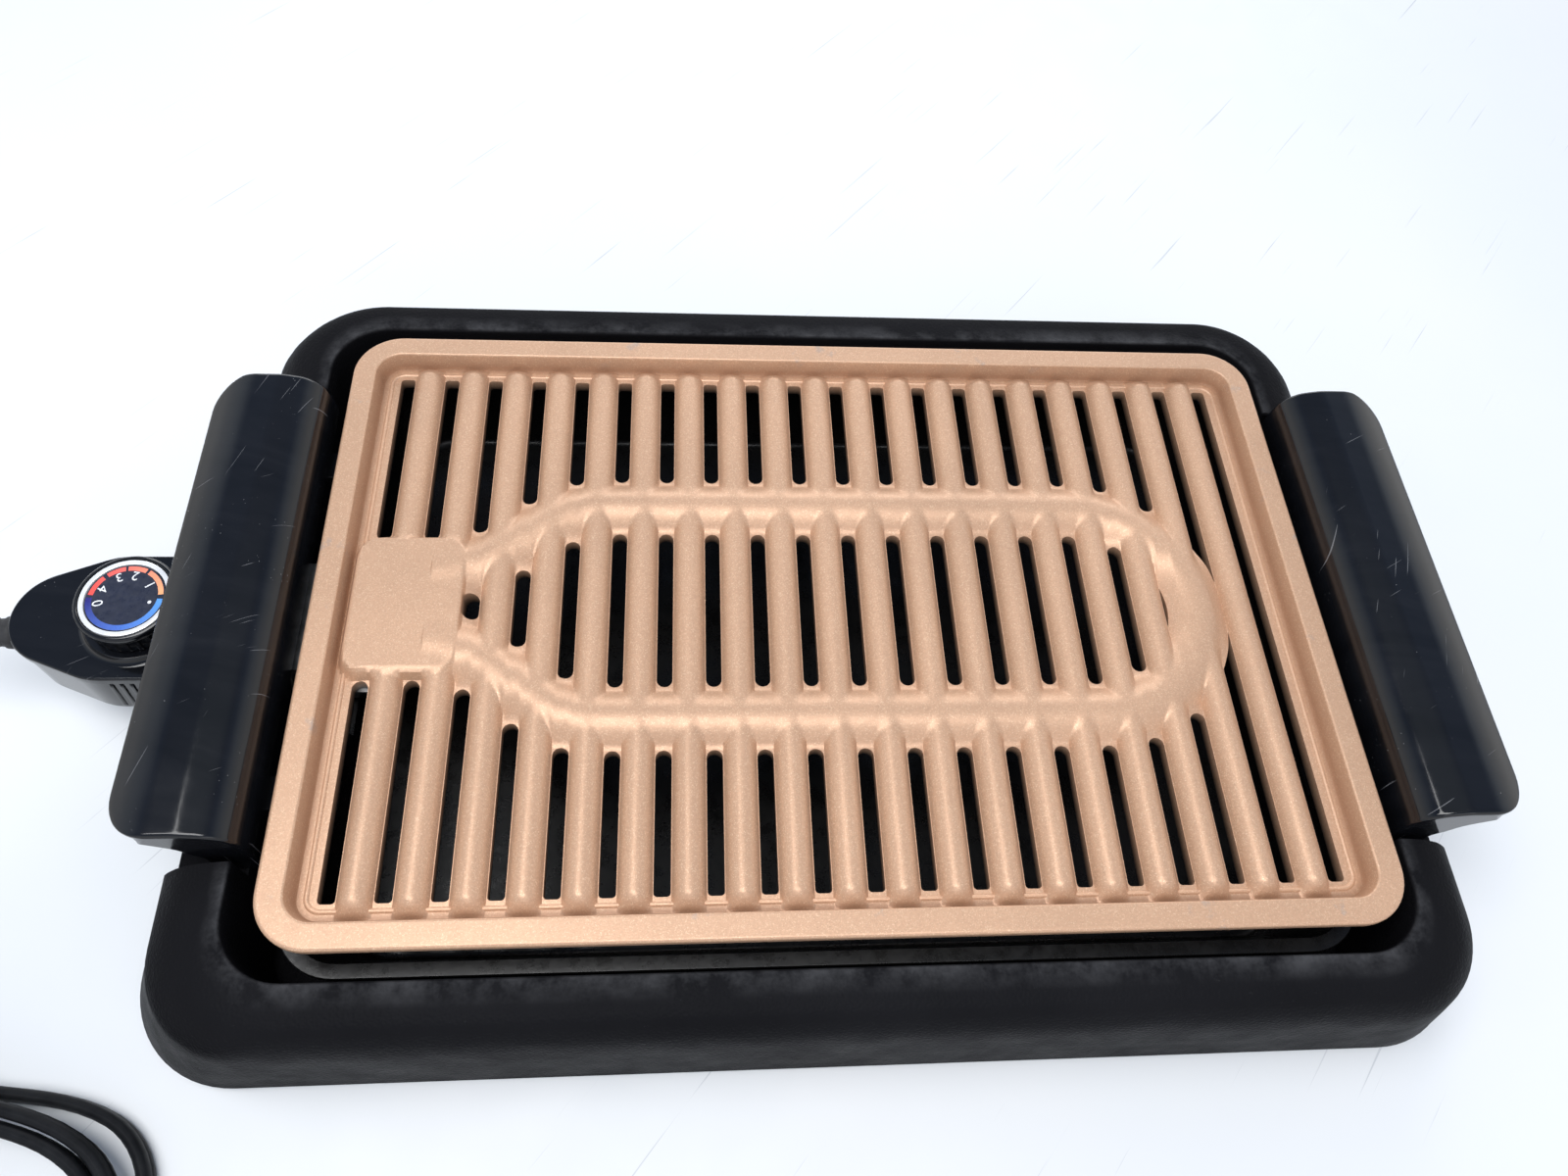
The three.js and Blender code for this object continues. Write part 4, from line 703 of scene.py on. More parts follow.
def make_looks(settings):
    """Every finish of the record, by its slot's name."""
    coat = tuple(settings.coating)
    tone = lambda share: tuple(min(1, c * share) for c in coat)

    look = Look("copper_coating", metallic=0.3, ior=1.5)
    broad = look.noise(14, 4, 0.55)
    grain = look.noise(1900, 2)
    # Cells of the coating's flakes: they give its relief, and its painted glints
    flakes_and_glints = look.add("TexVoronoi", {"Vector": look.place, "Scale": 3600}).outputs["Color"]
    flakes_and_glints = look.add("SeparateColor", {0: flakes_and_glints}).outputs[0]
    shade = look.ramp(broad, (0.3, tone(0.92)), (0.7, tone(1.06)))
    shade = look.mix(look.ramp(look.noise(1250, 3, 0.7), (0.35, 0), (0.65, 0.45)), shade, tone(0.7))
    # Painted glints: pale specks on the flakes, as strong as the setting says
    shade = look.mix(look.ramp(flakes_and_glints, (0.86, 0), (0.95, settings.glint_strength)), shade, (1, 0.8, 0.56))
    # Painted shade: darker brown over the pocket wall and the groove
    shade = look.mix(look.ramp(look.attribute("groove"), (0, 0), (1, 0.5)), shade, (0.24, 0.11, 0.055))
    # Painted highlight: lighter coating along the bead's crest
    shade = look.mix(look.ramp(look.attribute("bead"), (0, 0), (1, 0.4)), shade, tone(1.35))
    rubbed = look.ramp(look.noise(70, 5, 0.65), (0.62, 0), (0.68, 1))
    rubbed = look.math("MULTIPLY", look.attribute("edge"), rubbed)
    shade = look.mix(look.math("MULTIPLY", rubbed, 0.75), shade, (0.3, 0.29, 0.28))
    # Painted shade: near black on all that lies below the web's top, the slot walls and the underside
    shade = look.mix(look.ramp(look.attribute("deep"), (0, 0), (1, 0.97)), shade, (0.004, 0.004, 0.005))
    rough = look.ramp(look.noise(260, 4, 0.7), (0.3, 0.34), (0.75, 0.46))
    relief = look.math("ADD", look.math("MULTIPLY", grain, 0.6), look.math("MULTIPLY", flakes_and_glints, 0.5))
    normal = look.bump(relief, 0.00012, 0.8)
    look.finish(base_color=shade, roughness=rough, normal=normal)

    look = Look("grained_black", ior=1.48, specular_ior_level=0.012)
    leather = look.cells(1000, feature="SMOOTH_F1")
    fine = look.noise(2600, 3)
    shade = look.ramp(look.noise(9, 4, 0.6), (0.3, (0.0065, 0.0065, 0.0075)), (0.75, (0.0105, 0.0105, 0.012)))
    dust = look.ramp(look.noise(420, 5, 0.75), (0.66, 0), (0.74, 0.3))
    shade = look.mix(dust, shade, (0.07, 0.07, 0.073))
    worn = look.ramp(look.noise(55, 5, 0.7), (0.4, 0), (0.7, 0.5))
    worn = look.math("MULTIPLY", look.attribute("edge"), worn)
    shade = look.mix(worn, shade, (0.1, 0.1, 0.105))
    rough = look.ramp(look.noise(60, 5, 0.65), (0.3, 0.36), (0.7, 0.5))
    normal = look.bump(fine, 0.00006, 0.5, look.bump(leather, 0.00025, 0.8))
    look.finish(base_color=shade, roughness=rough, normal=normal)

    look = Look("gloss_black", ior=1.5, specular_ior_level=0.45)
    smear = look.noise(1, 5, 0.6, look.stretched((16, 60, 16), (0, 0, 0.2)), 0.6)
    lines = look.noise(1, 2, 0.4, look.stretched((1300, 26, 26), (0, 0, 0.35)))
    others = look.noise(1, 2, 0.4, look.stretched((34, 1500, 34), (0, 0, -0.5)))
    lines, others = look.ramp(lines, (0.735, 0), (0.75, 1)), look.ramp(others, (0.745, 0), (0.76, 1))
    scratch = look.math("MAXIMUM", lines, others)
    specks = look.ramp(look.cells(520), (0.05, 1), (0.1, 0))
    sparse = look.ramp(look.noise(90, 3), (0.55, 0), (0.7, 1))
    specks = look.math("MULTIPLY", specks, sparse)
    shade = look.ramp(smear, (0.35, (0.003, 0.0034, 0.0045)), (0.8, (0.007, 0.0075, 0.0095)))
    shade = look.mix(look.math("MULTIPLY", scratch, 0.28), shade, (0.42, 0.42, 0.44))
    shade = look.mix(look.math("MULTIPLY", specks, 0.5), shade, (0.5, 0.5, 0.5))
    rough = look.ramp(smear, (0.35, 0.08), (0.62, 0.16), (0.85, 0.34))
    normal = look.bump(look.noise(190, 2), 0.00004, 0.35)
    look.finish(base_color=shade, roughness=rough, normal=normal)

    look = Look("enamel_black", ior=1.5, specular_ior_level=0.3)
    shade = look.ramp(look.noise(40, 4), (0.3, (0.004, 0.004, 0.0045)), (0.7, (0.008, 0.0075, 0.007)))
    shade = look.mix(look.ramp(look.noise(700, 2), (0.74, 0), (0.8, 0.3)), shade, (0.05, 0.04, 0.03))
    rough = look.ramp(look.noise(150, 4, 0.7), (0.3, 0.2), (0.75, 0.42))
    look.finish(base_color=shade, roughness=rough, normal=look.bump(look.noise(420, 3), 0.00008, 0.5))

    for name, (values, mottle, low, high, rough, grain) in PLAIN_LOOKS.items():
        look = Look(name, **values)
        look.finish(
            base_color=look.ramp(look.noise(*mottle), low, high),
            roughness=look.ramp(look.noise(*rough[:2]), (0.3, rough[2]), (0.7, rough[3])),
            normal=look.bump(look.noise(*grain[:2]), *grain[2:]),
        )

    for name, (dark, light, low, high) in METALS.items():
        look = Look(name, metallic=1.0)
        brushed = look.noise(1, 4, 0.6, look.stretched((60, 900, 900)))
        shade = look.mix(look.ramp(look.noise(90, 4), (0.3, 0), (0.7, 1)), dark, light)
        look.finish(
            base_color=shade, roughness=look.ramp(brushed, (0.25, low), (0.75, high)),
            normal=look.bump(brushed, 0.00003, 0.6),
        )

    face_look()


def face_look():
    """Navy face with a warm arc in four parts and a blue arc opposite."""
    look = Look("navy_face", ior=1.5)
    parts = look.add("SeparateXYZ", {0: look.place}).outputs
    x = look.math("MULTIPLY", look.math("SUBTRACT", parts[0], DIAL_X * 0.001 + SHIFT), 1000)
    y = look.math("MULTIPLY", parts[1], 1000)
    radius = look.math("SQRT", look.math("ADD", look.math("MULTIPLY", x, x), look.math("MULTIPLY", y, y)))
    # The sweep runs from 0 at the left, over the far side, to 0.5 at the right and back by the near side
    turn = look.math("DIVIDE", look.math("ARCTAN2", y, x), 2 * math.pi)
    sweep = look.math("MODULO", look.math("SUBTRACT", 1.5, turn), 1)
    between = lambda value, low, high: look.math(
        "MULTIPLY", look.math("GREATER_THAN", value, low), look.math("LESS_THAN", value, high),
    )
    warm = look.ramp(sweep, (0, (0.84, 0.075, 0.06)), (0.2, (0.86, 0.13, 0.11)), (0.4, (0.92, 0.33, 0.18)),
                     (0.5, (0.93, 0.44, 0.2)))
    cool = look.ramp(sweep, (0.5, (0.1, 0.33, 0.79)), (0.75, (0.06, 0.14, 0.5)), (1, (0.02, 0.014, 0.15)))
    inner, warm_edge, cool_edge = ARC_EDGES
    arcs = None
    for low, high in WARM_ARCS:
        arc = between(sweep, low, high)
        arcs = look.math("ADD", arcs, arc) if arcs else arc
    warm_band = look.math("MULTIPLY", arcs, between(radius, inner, warm_edge))
    near_side = look.math("GREATER_THAN", sweep, COOL_START)
    cool_band = look.math("MULTIPLY", near_side, between(radius, inner, cool_edge))
    ground = look.ramp(look.noise(300, 4), (0.3, (0.012, 0.015, 0.03)), (0.7, (0.019, 0.023, 0.042)))
    shade = look.mix(warm_band, ground, warm)
    shade = look.mix(cool_band, shade, cool)
    look.finish(
        base_color=shade, roughness=look.ramp(look.noise(500, 4), (0.3, 0.24), (0.7, 0.4)),
        normal=look.bump(look.noise(1400, 2), 0.00002, 0.5),
    )


# PIECES

class Piece:
    """What the operators share: the scene's settings, and a plain error when one can't finish."""

    bl_options = {"REGISTER", "UNDO"}

    def execute(self, context):
        if not looks:
            make_looks(context.scene.grill)
        self.build(context.scene.grill)
        return {"FINISHED"}


class GRILL_OT_stage(Piece, bpy.types.Operator):
    """Sets the camera at its angle, the pale table and the soft light"""

    bl_idname = "grill.stage"
    bl_label = "Camera, table and light"

    def build(self, settings):
        scene = bpy.context.scene
        self.set_camera(scene)
        self.light_room(scene, settings.room)
        for lamp in LAMPS:
            self.hang_lamp(*lamp)
        self.lay_table()
        scene.view_settings.view_transform = "Standard"

    def set_camera(self, scene):
        lens = bpy.data.cameras.new("camera")
        lens.sensor_width, lens.lens, lens.clip_start = *CAMERA_LENS, 0.01
        scene.camera = hold("camera", lens)
        right, down, ahead = CAMERA_TURN
        axes = Matrix((right, [-v for v in down], [-v for v in ahead])).transposed()
        scene.camera.matrix_world = Matrix.Translation(CAMERA_PLACE) @ axes.to_4x4()

    def light_room(self, scene, strength):
        """Light from all round, white from the table's level and cooler from above."""
        world = bpy.data.worlds.new("room")
        world.use_nodes = True
        nodes, links = world.node_tree.nodes, world.node_tree.links
        nodes["Background"].inputs["Strength"].default_value = strength
        height = nodes.new("ShaderNodeSeparateXYZ")
        links.new(nodes.new("ShaderNodeTexCoord").outputs["Generated"], height.inputs[0])
        sky = nodes.new("ShaderNodeValToRGB")
        links.new(height.outputs["Z"], sky.inputs[0])
        links.new(sky.outputs[0], nodes["Background"].inputs["Color"])
        marks = sky.color_ramp.elements
        marks[0].position, marks[1].position = SKY[0][0], SKY[-1][0]
        marks[0].color, marks[1].color = SKY[0][1], SKY[-1][1]
        for at, shade in SKY[1:-1]:
            marks.new(at).color = shade
        scene.world = world

    def hang_lamp(self, name, place, aim, size, power):
        lamp = bpy.data.lights.new(name, "AREA")
        lamp.shape, lamp.size, lamp.size_y, lamp.energy = "RECTANGLE", *size, power
        lamp.specular_factor = 0.45
        made = hold(name, lamp)
        towards = (Vector(aim) - Vector(place)).to_track_quat("-Z", "Y")
        made.matrix_world = Matrix.Translation(place) @ towards.to_matrix().to_4x4()

    def lay_table(self):
        look = Look("table", ior=1.45)
        lines = look.noise(1, 3, 0.5, look.stretched((500, 9, 9), (0, 0, 0.7)))
        shade = look.ramp(look.noise(3, 4), (0.3, (0.7, 0.725, 0.745)), (0.7, (0.74, 0.745, 0.75)))
        shade = look.mix(look.ramp(lines, (0.68, 0), (0.73, 0.55)), shade, (0.4, 0.42, 0.45))
        look.finish(
            base_color=shade, roughness=look.ramp(look.noise(40, 4), (0.3, 0.5), (0.7, 0.62)),
            normal=look.bump(look.noise(300, 3), 0.00003, 0.4),
        )
        corners = [(sx * TABLE_HALF, sy * TABLE_HALF, 0) for sx, sy in ((-1, -1), (1, -1), (1, 1), (-1, 1))]
        table = add_object("table", corners, [[0, 1, 2, 3]])
        table.data.materials.append(looks["table"])


# The plate's cast top as heights over its plan

def rounded_distance(x, y, length, width, radius):
    """Distance of places from a rounded rectangle, below zero inside it."""
    across, along = np.abs(x) - length / 2 + radius, np.abs(y) - width / 2 + radius
    outside = np.hypot(np.maximum(across, 0), np.maximum(along, 0))
    return outside + np.minimum(np.maximum(across, along), 0) - radius


def blend(a, b, reach):
    """The higher of two surfaces, with a soft inner corner."""
    share = np.maximum(reach - np.abs(a - b), 0) / reach
    return np.maximum(a, b) + share * share * reach / 4


def leg_offset(x):
    """How far the ridge's legs stand from the middle at a place along the plate."""
    return TERMINAL_Y + (LEG_Y - TERMINAL_Y) * ease((x - CONVERGE[0]) / CONVERGE[1])


def leg_slope(x):
    """How fast the ridge's legs part there."""
    t = np.clip((x - CONVERGE[0]) / CONVERGE[1], 0, 1)
    return (LEG_Y - TERMINAL_Y) * 6 * t * (1 - t) / CONVERGE[1]


def ridge_distance(x, y):
    """Distance from the ridge's centreline, above zero outside it."""
    straight = (np.abs(y) - leg_offset(x)) / np.hypot(1, leg_slope(x))
    return np.where(x < BEND_X, straight, np.hypot(x - BEND_X, y) - LEG_Y)


def plate_top(x, y, settings):
    """Height of the floor, ribs, ridge and pad."""
    from_edge = -rounded_distance(x, y, *PLATE)
    web = np.where(from_edge < WEB_STEP[0], WEB_TOP - WEB_STEP[1], WEB_TOP)
    last = SLOT_COLUMNS // 2 - 1
    column = np.clip(np.round(x / SLOT_PITCH), -last, last)
    arch = np.sqrt(np.maximum(1 - ((x - column * SLOT_PITCH) / RIB_HALF) ** 2, 0))
    t = np.clip((RIB_SPAN / 2 - np.abs(y)) / RIB_END, 0, 1)
    ribs = web + settings.rib_rise * 1000 * arch ** RIB_POWER * np.sqrt(1 - (1 - t) ** 2)
    w = np.abs(ridge_distance(x, y)) / RIDGE_HALF
    ridge = np.where(x > CONVERGE[0], (1 - np.minimum(w, 1) ** RIDGE_POWERS[0]) ** RIDGE_POWERS[1], 0)
    ridge = WEB_TOP + settings.ridge_rise * 1000 * ridge
    pad = rounded_distance(x - PAD[3], y, *PAD[:3])
    pad = WEB_TOP + PAD_RISE * np.sin(math.pi / 2 * ease((PAD_EDGE[0] - pad) / PAD_EDGE[1]))
    raised = blend(ridge, pad, CREASES[0])
    raised = np.where(raised > WEB_TOP + 0.02, raised, web)
    return np.where(np.maximum(ribs, raised) > web + 0.02, blend(ribs, raised, CREASES[1]), web)


def stations(low, high, fine, coarse_from, coarse):
    """Places from low to high, wider apart within a band on either side."""
    found = [low]
    while found[-1] < high - 1e-6:
        at = abs(found[-1])
        step = coarse if coarse_from[0] < at < coarse_from[1] else fine
        found.append(min(found[-1] + step, high))
    return np.array(found)


def slab(name, settings):
    """Closed body under the plate's cast top."""
    half_x, half_y = PLATE[0] / 2 - POCKET_INSET, PLATE[1] / 2 - POCKET_INSET
    xs = {-half_x, half_x}
    for k in range(-SLOT_COLUMNS // 2, SLOT_COLUMNS // 2 + 1):
        for step in RIB_STATIONS:
            xs |= {k * SLOT_PITCH + step, k * SLOT_PITCH - step}
    xs = np.array(sorted(x for x in xs if abs(x) <= half_x))
    ys = stations(-half_y, half_y, 1.4, (62, 100), 4.5)
    x, y = np.meshgrid(xs, ys, indexing="ij")
    top = np.stack((x, y, plate_top(x, y, settings)), -1).reshape(-1, 3)
    rows, columns = x.shape
    i, j = (part.ravel() for part in np.meshgrid(range(rows - 1), range(columns - 1), indexing="ij"))
    at = i * columns + j
    faces = np.column_stack((at, at + columns, at + columns + 1, at + 1)).tolist()
    grid = np.arange(rows * columns).reshape(rows, columns)
    rim = [int(v) for side in (grid[0], grid[1:, -1], grid[-1, -2::-1], grid[-2:0:-1, 0]) for v in side]
    low = top[rim] * (1, 1, 0) + (0, 0, WEB_BOTTOM)
    first = len(top)
    for n, at in enumerate(rim):
        after = (n + 1) % len(rim)
        faces.append([at, rim[after], first + after, first + n])
    faces.append(list(range(first, first + len(rim))))
    return face_out(add_object(name, np.vstack((top, low)), faces))


def slot_end(x, y, kind, side):
    """Points across one end of a slot, from its right wall to its left; side is the end's direction."""
    half = SLOT_WIDTH / 2
    if kind == "disc":
        xs = np.linspace(x + half, x - half, 9)
        return np.column_stack((xs, side * np.sqrt(y * y - (xs - BEND_X) ** 2)))
    radius = half if kind == "round" else SLOT_CORNER
    turn = np.linspace(0, math.pi / 2, 7)
    across, back = x + half - radius + radius * np.cos(turn), radius * (1 - np.sin(turn))
    right = np.column_stack((across, y - side * back))
    left = right[::-1] * (-1, 1) + (2 * x, 0)
    return np.vstack((right, left))


def slot_outline(x, reach, kind):
    """Outline of a slot that reaches as far on both sides."""
    return np.vstack((slot_end(x, reach, kind, 1), slot_end(x, -reach, kind, -1)[::-1]))


def slot_limit(x, side):
    """Half width at which the ridge's outer (1) or inner (-1) edge bounds the slots."""
    reach = side * (RIDGE_HALF + SLOT_STAND_OFF)
    if x < BEND_X:
        return float(leg_offset(x)) + reach * math.hypot(1, leg_slope(x))
    return math.sqrt(max(0, (LEG_Y + reach) ** 2 - (x - BEND_X) ** 2))


def slot_outlines():
    """Plans of all slots between the ribs, kept off the ridge and the pad."""
    end = SLOT_FIELD / 2
    outer_disc = LEG_Y + RIDGE_HALF + SLOT_STAND_OFF
    inner_disc = LEG_Y - RIDGE_HALF - SLOT_STAND_OFF + 1
    found = []
    for k in range(SLOT_COLUMNS):
        x = (k - (SLOT_COLUMNS - 1) / 2) * SLOT_PITCH
        past_pad = x > CONVERGE[0] + SLOT_PITCH / 2
        outer = slot_limit(x, 1) if past_pad else PAD_SLOT
        inner = slot_limit(x, -1) if past_pad else 0
        if outer == 0:
            found.append(slot_outline(x, end, "square"))
        else:
            past_bend = x - BEND_X > LEG_Y
            low = slot_end(x, outer_disc, "disc", 1) if past_bend else slot_end(x, outer, "round", -1)
            found.append(np.vstack((slot_end(x, end, "square", 1), low[::-1])))
            found.append(found[-1][::-1] * (1, -1))
        if inner > SLOT_WIDTH / 2:
            found.append(slot_outline(x, inner, "round"))
        gap = x - SLOT_WIDTH / 2 - BEND_X
        if inner == 0 and 0 < gap < inner_disc:
            turn = np.linspace(-1, 1, 13) * math.acos(gap / inner_disc)
            found.append(inner_disc * np.column_stack((np.cos(turn), np.sin(turn))) + (BEND_X, 0))
    return found


def prisms(name, outlines, low, high):
    """Upright cutters over plans that don't meet, as one mesh."""
    points, faces = [], []
    for ring in outlines:
        foot = [len(points) + i for i in range(len(ring))]
        top = [i + len(ring) for i in foot]
        points += [*level(ring, low), *level(ring, high)]
        faces += [list(quad) for quad in zip(foot, foot[1:] + foot[:1], top[1:] + top[:1], top)]
        faces += [foot[::-1], top]
    return face_out(add_object(name, points, faces))


def plate_frame(name):
    """Rim, pocket wall, groove and bead of the plate, one section carried round its outline."""
    section = []
    for inset, radius, angles in ((RIM_EDGE, -RIM_EDGE, (math.pi / 2, 0, 7)), (RIM_MOUTH, 1, (0, 1.25, 5))):
        for a in np.linspace(*angles):
            section.append((inset + radius * math.sin(a), PLATE_TOP - abs(radius) * (1 - math.cos(a))))
    rings = [level(plan(PLATE, inset, 14), z) for inset, z in [*section, *PLATE_SECTION]]
    return loft(name, rings, closed=True)


def element_points():
    """Centreline of the element from one terminal round the bend to the other."""
    end, low, high, straight = ELEMENT_STOPS
    leg = [(end, TERMINAL_Y, TERMINAL_HEIGHT)]
    for x in np.linspace(low, high, 5):
        rise = ease((x - low) / (high - low))
        leg.append((x, float(leg_offset(x)), TERMINAL_HEIGHT + rise * (ELEMENT_HEIGHT - TERMINAL_HEIGHT)))
    leg += [(x, float(leg_offset(x)), ELEMENT_HEIGHT) for x in np.linspace(high, straight, 7)[1:]]
    leg += [(straight + (BEND_X - straight) * i / 4, LEG_Y, ELEMENT_HEIGHT) for i in (1, 2, 3)]
    turn = np.linspace(0, math.pi, 19)
    bend = level(np.column_stack((BEND_X + LEG_Y * np.sin(turn), LEG_Y * np.cos(turn))), ELEMENT_HEIGHT)
    return catmull([*leg, *bend, *((x, -y, z) for x, y, z in reversed(leg))], 6)


def groove(points):
    """Round-topped channel over the element, open downwards."""
    reach = ELEMENT_RADIUS + GAP
    turn = np.linspace(0, math.pi, 9)
    rings = []
    for before, at, after in zip([points[0], *points[:-1]], points, [*points[1:], points[-1]]):
        along = (after - before)[:2] / np.linalg.norm((after - before)[:2])
        aside = np.array((-along[1], along[0], 0))
        ring = [at + reach * (math.cos(a) * aside + math.sin(a) * np.array((0, 0, 1))) for a in turn]
        low = at - (0, 0, ELEMENT_CHANNEL)
        rings.append([*ring, low - reach * aside, low + reach * aside])
    return loft("groove", rings)


def screw_places():
    """Seats of the guard's and the tabs' screws."""
    x, y, z = GUARD_SCREW
    guard = [(x, end * y, z) for end in ENDS]
    return guard, [(side * TAB_SCREW[0], end * TAB[0] / 2, TAB_SCREW[1]) for side in ENDS for end in ENDS]


class GRILL_OT_plate(Piece, bpy.types.Operator):
    """Casts the grill plate: rim, bead, ribs, ridge and pad as one surface with the slots cut through"""

    bl_idname = "grill.plate"
    bl_label = "Grill plate"

    def build(self, settings):
        plate = join(plate_frame("plate"), slab("slab", settings))
        boss, along = block("boss", *PROBE_BOSS, 1.2), (PROBE_BOSS[0][0] - 10, PROBE_BOSS[1][0] + 12)
        join(plate, cut(boss, rod(PROBE_BORE, *((x, 0, TERMINAL_HEIGHT) for x in along))))
        cut(plate, prisms("slots", slot_outlines(), 50, 80), groove(element_points()))
        places = [(x, y) for x, y, _ in sum(screw_places(), [])]
        cut(plate, *bores(SCREW_BORE, places, WEB_BOTTOM - 5, SCREW_HOLE_TOP, 16))
        # Bands that the coating reads, by inset and height
        x, y, z = millimetres(plate.data).T
        inset = -rounded_distance(x, y, *PLATE)
        # Painted shade over the pocket wall and the groove
        mark(plate, "groove", ease((inset - 9) / 1.2) * ease((13 - inset) / 1) * ease((70 - z) / 3))
        # Painted highlight along the bead's crest
        mark(plate, "bead", (1 - abs(inset - 14.1) / 0.8) * (z > 62.4))
        # Painted shade on all below the web's top, in the slots and underneath
        mark(plate, "deep", (WEB_TOP - 0.35 - z) / 0.5)
        mark(plate, "edge", np.maximum((2 - inset) / 1.2, (1 - abs(inset - 8.8)) * 0.7) * (z > 66))
        present(plate, "head", ["grill_plate"], "copper_coating", 34)


class GRILL_OT_element(Piece, bpy.types.Operator):
    """Runs the tubular element along its path with a node tree"""

    bl_idname = "grill.element"
    bl_label = "Heating element"

    def build(self, settings):
        points = element_points()
        path = add_object("element", points, [])
        path.data.edges.add(len(points) - 1)
        path.data.edges.foreach_set("vertices", [v for i in range(len(points) - 1) for v in (i, i + 1)])
        tree = Tree("element", Radius=("Float", 0.004), Sides=("Int", 20))
        curve = tree.geometry("MeshToCurve", {"Mesh": tree.given["Geometry"]})
        circle = {"Resolution": tree.given["Sides"], "Radius": tree.given["Radius"]}
        circle = tree.geometry("CurvePrimitiveCircle", circle)
        tube = tree.geometry("CurveToMesh", {"Curve": curve, "Profile Curve": circle, "Fill Caps": True})
        tree.end(tube, looks["sheath_steel"])
        grow(path, tree, Radius=ELEMENT_RADIUS * 0.001)
        present(path, "head", ["heating_element"], "sheath_steel")


def handle_curve(shares, spacing):
    """A handle's curve through shares of its reach and rise."""
    return catmull([(r * HANDLE_REACH, h * HANDLE_RISE, 0) for r, h in shares], spacing)[:, :2]


def handle_section(inset, limit, walled):
    """Outline of a handle's skin or of its end wall, drawn in and held within a limit."""
    outside = np.minimum(handle_curve(HANDLE_SHARES, 1.4), (HANDLE_REACH, HANDLE_RISE))
    run = np.append(0, np.cumsum(np.linalg.norm(np.diff(outside, axis=0), axis=1)))
    last = np.interp(limit, outside[outside[:, 0].argsort(kind="stable"), 0], run)
    fixed = HANDLE_FIXED
    kept = np.where(run < fixed, run, fixed + (run - fixed) * (last - fixed) / (run[-1] - fixed))
    outside = np.column_stack([np.interp(kept, run, part) for part in outside.T])
    heading = np.gradient(outside, axis=0)
    heading /= np.linalg.norm(heading, axis=1)[:, None]
    normal = np.column_stack((-heading[:, 1], heading[:, 0]))
    skin = outside - normal * inset
    if walled:
        rest = handle_curve(HANDLE_END_SHARES, 2) - (inset, 0)
    else:
        inside = outside - normal * (HANDLE_WALL - inset * 0.4)
        lip, across, on = (skin[-1] + inside[-1]) / 2, (skin[-1] - inside[-1]) / 2, heading[-1] * 0.9
        nose = [lip + across * math.cos(a) + on * math.sin(a) for a in np.linspace(0, math.pi, 7)[1:-1]]
        rest = [*nose, *inside[::-1]]
    return [(HANDLE_X + x, HANDLE_FOOT + z) for x, z in [*skin, *rest]]


def handle_ring(y, walled):
    """One station along a handle."""
    depth = min(HANDLE_HALF - abs(y), HANDLE_EDGE)
    inset = HANDLE_EDGE - math.sqrt(HANDLE_EDGE ** 2 - (HANDLE_EDGE - depth) ** 2)
    turn = max(0, abs(y) - HANDLE_HALF + HANDLE_CORNER)
    limit = HANDLE_REACH - HANDLE_CORNER + math.sqrt(HANDLE_CORNER ** 2 - turn ** 2)
    return [(x, y, z) for x, z in handle_section(inset, limit, walled)]


def handle(name, side, arched):
    """One handle with its end walls and tabs, and an arch over the control's nose if it has one."""
    steps = [HANDLE_HALF - step for step in HANDLE_STATIONS]
    places = [-v for v in steps] + list(np.linspace(-60, 60, 9)) + steps[::-1]
    made = loft(name, [handle_ring(y, False) for y in places])
    for sign in ENDS:
        wall = [sign * v for v in steps if v > HANDLE_HALF - HANDLE_WALL - 0.1]
        join(made, loft("wall", [handle_ring(y, True) for y in wall]))
    spacing, width, low, high, reach = TAB
    for sign in ENDS:
        y = sign * spacing / 2
        tab = block("tab", (HANDLE_X - reach, y - width / 2, low), (HANDLE_X + 1.5, y + width / 2, high), 0.6)
        join(made, cut(tab, *bores(SCREW_BORE, [(TAB_SCREW[0], y)], low - 4, high + 3, 16)))
    if arched:
        arch = outline(ARCH[0] / 2, ARCH[1] - HANDLE_FOOT, ARCH[2], 6)
        rings = [[(x, y, z + HANDLE_FOOT) for y, z in arch] for x in (HANDLE_X - 4, HANDLE_X + 8)]
        cut(made, loft("arch", rings))
    if side < 0:
        made.data.transform(Matrix.Translation((SHIFT * 2, 0, 0)) @ Matrix.Scale(-1, 4, (1, 0, 0)))
        face_out(made)
    return made


class GRILL_OT_handles(Piece, bpy.types.Operator):
    """Shapes both handles as hollow rolled skins with rounded ends"""

    bl_idname = "grill.handles"
    bl_label = "Handles"

    def build(self, settings):
        for name, side in (("left", -1), ("right", 1)):
            made = handle(f"grip_{name}", side, side < 0)
            present(made, "head", [f"handle_{name}"], "gloss_black", 38)


# The base and what stands in it

def rim_space(inset, drop, bottom):
    """Solid under the rim's surface, drawn in and let down by a wall."""
    rings = []
    for fall, end, side in catmull(RIM_SHARES, 0.06):
        half_x = WELL[0] / 2 + end * (BASE[0] - WELL[0]) / 2 - inset
        half_y = WELL[1] / 2 + side * (BASE[1] - WELL[1]) / 2 - inset
        radius = WELL[2] + (end + side) * (BASE[2] - WELL[2]) / 2 - inset / 2
        height = RIM_HEIGHT - drop - fall * (RIM_HEIGHT - SKIRT_LIP)
        rings.append(level(outline(half_x, half_y, radius, 16), height))
    if bottom < rings[-1][0][2]:
        rings.append(rings[-1] * (1, 1, 0) + (0, 0, bottom))
    return loft("space", rings)


def brick(low, high):
    """Plain upright cutter between two corners."""
    (x0, x1), (y0, y1), (z0, z1) = (sorted(pair) for pair in zip(low, high))
    return prisms("brick", [np.array(((x0, y0), (x1, y0), (x1, y1), (x0, y1)))], z0, z1)


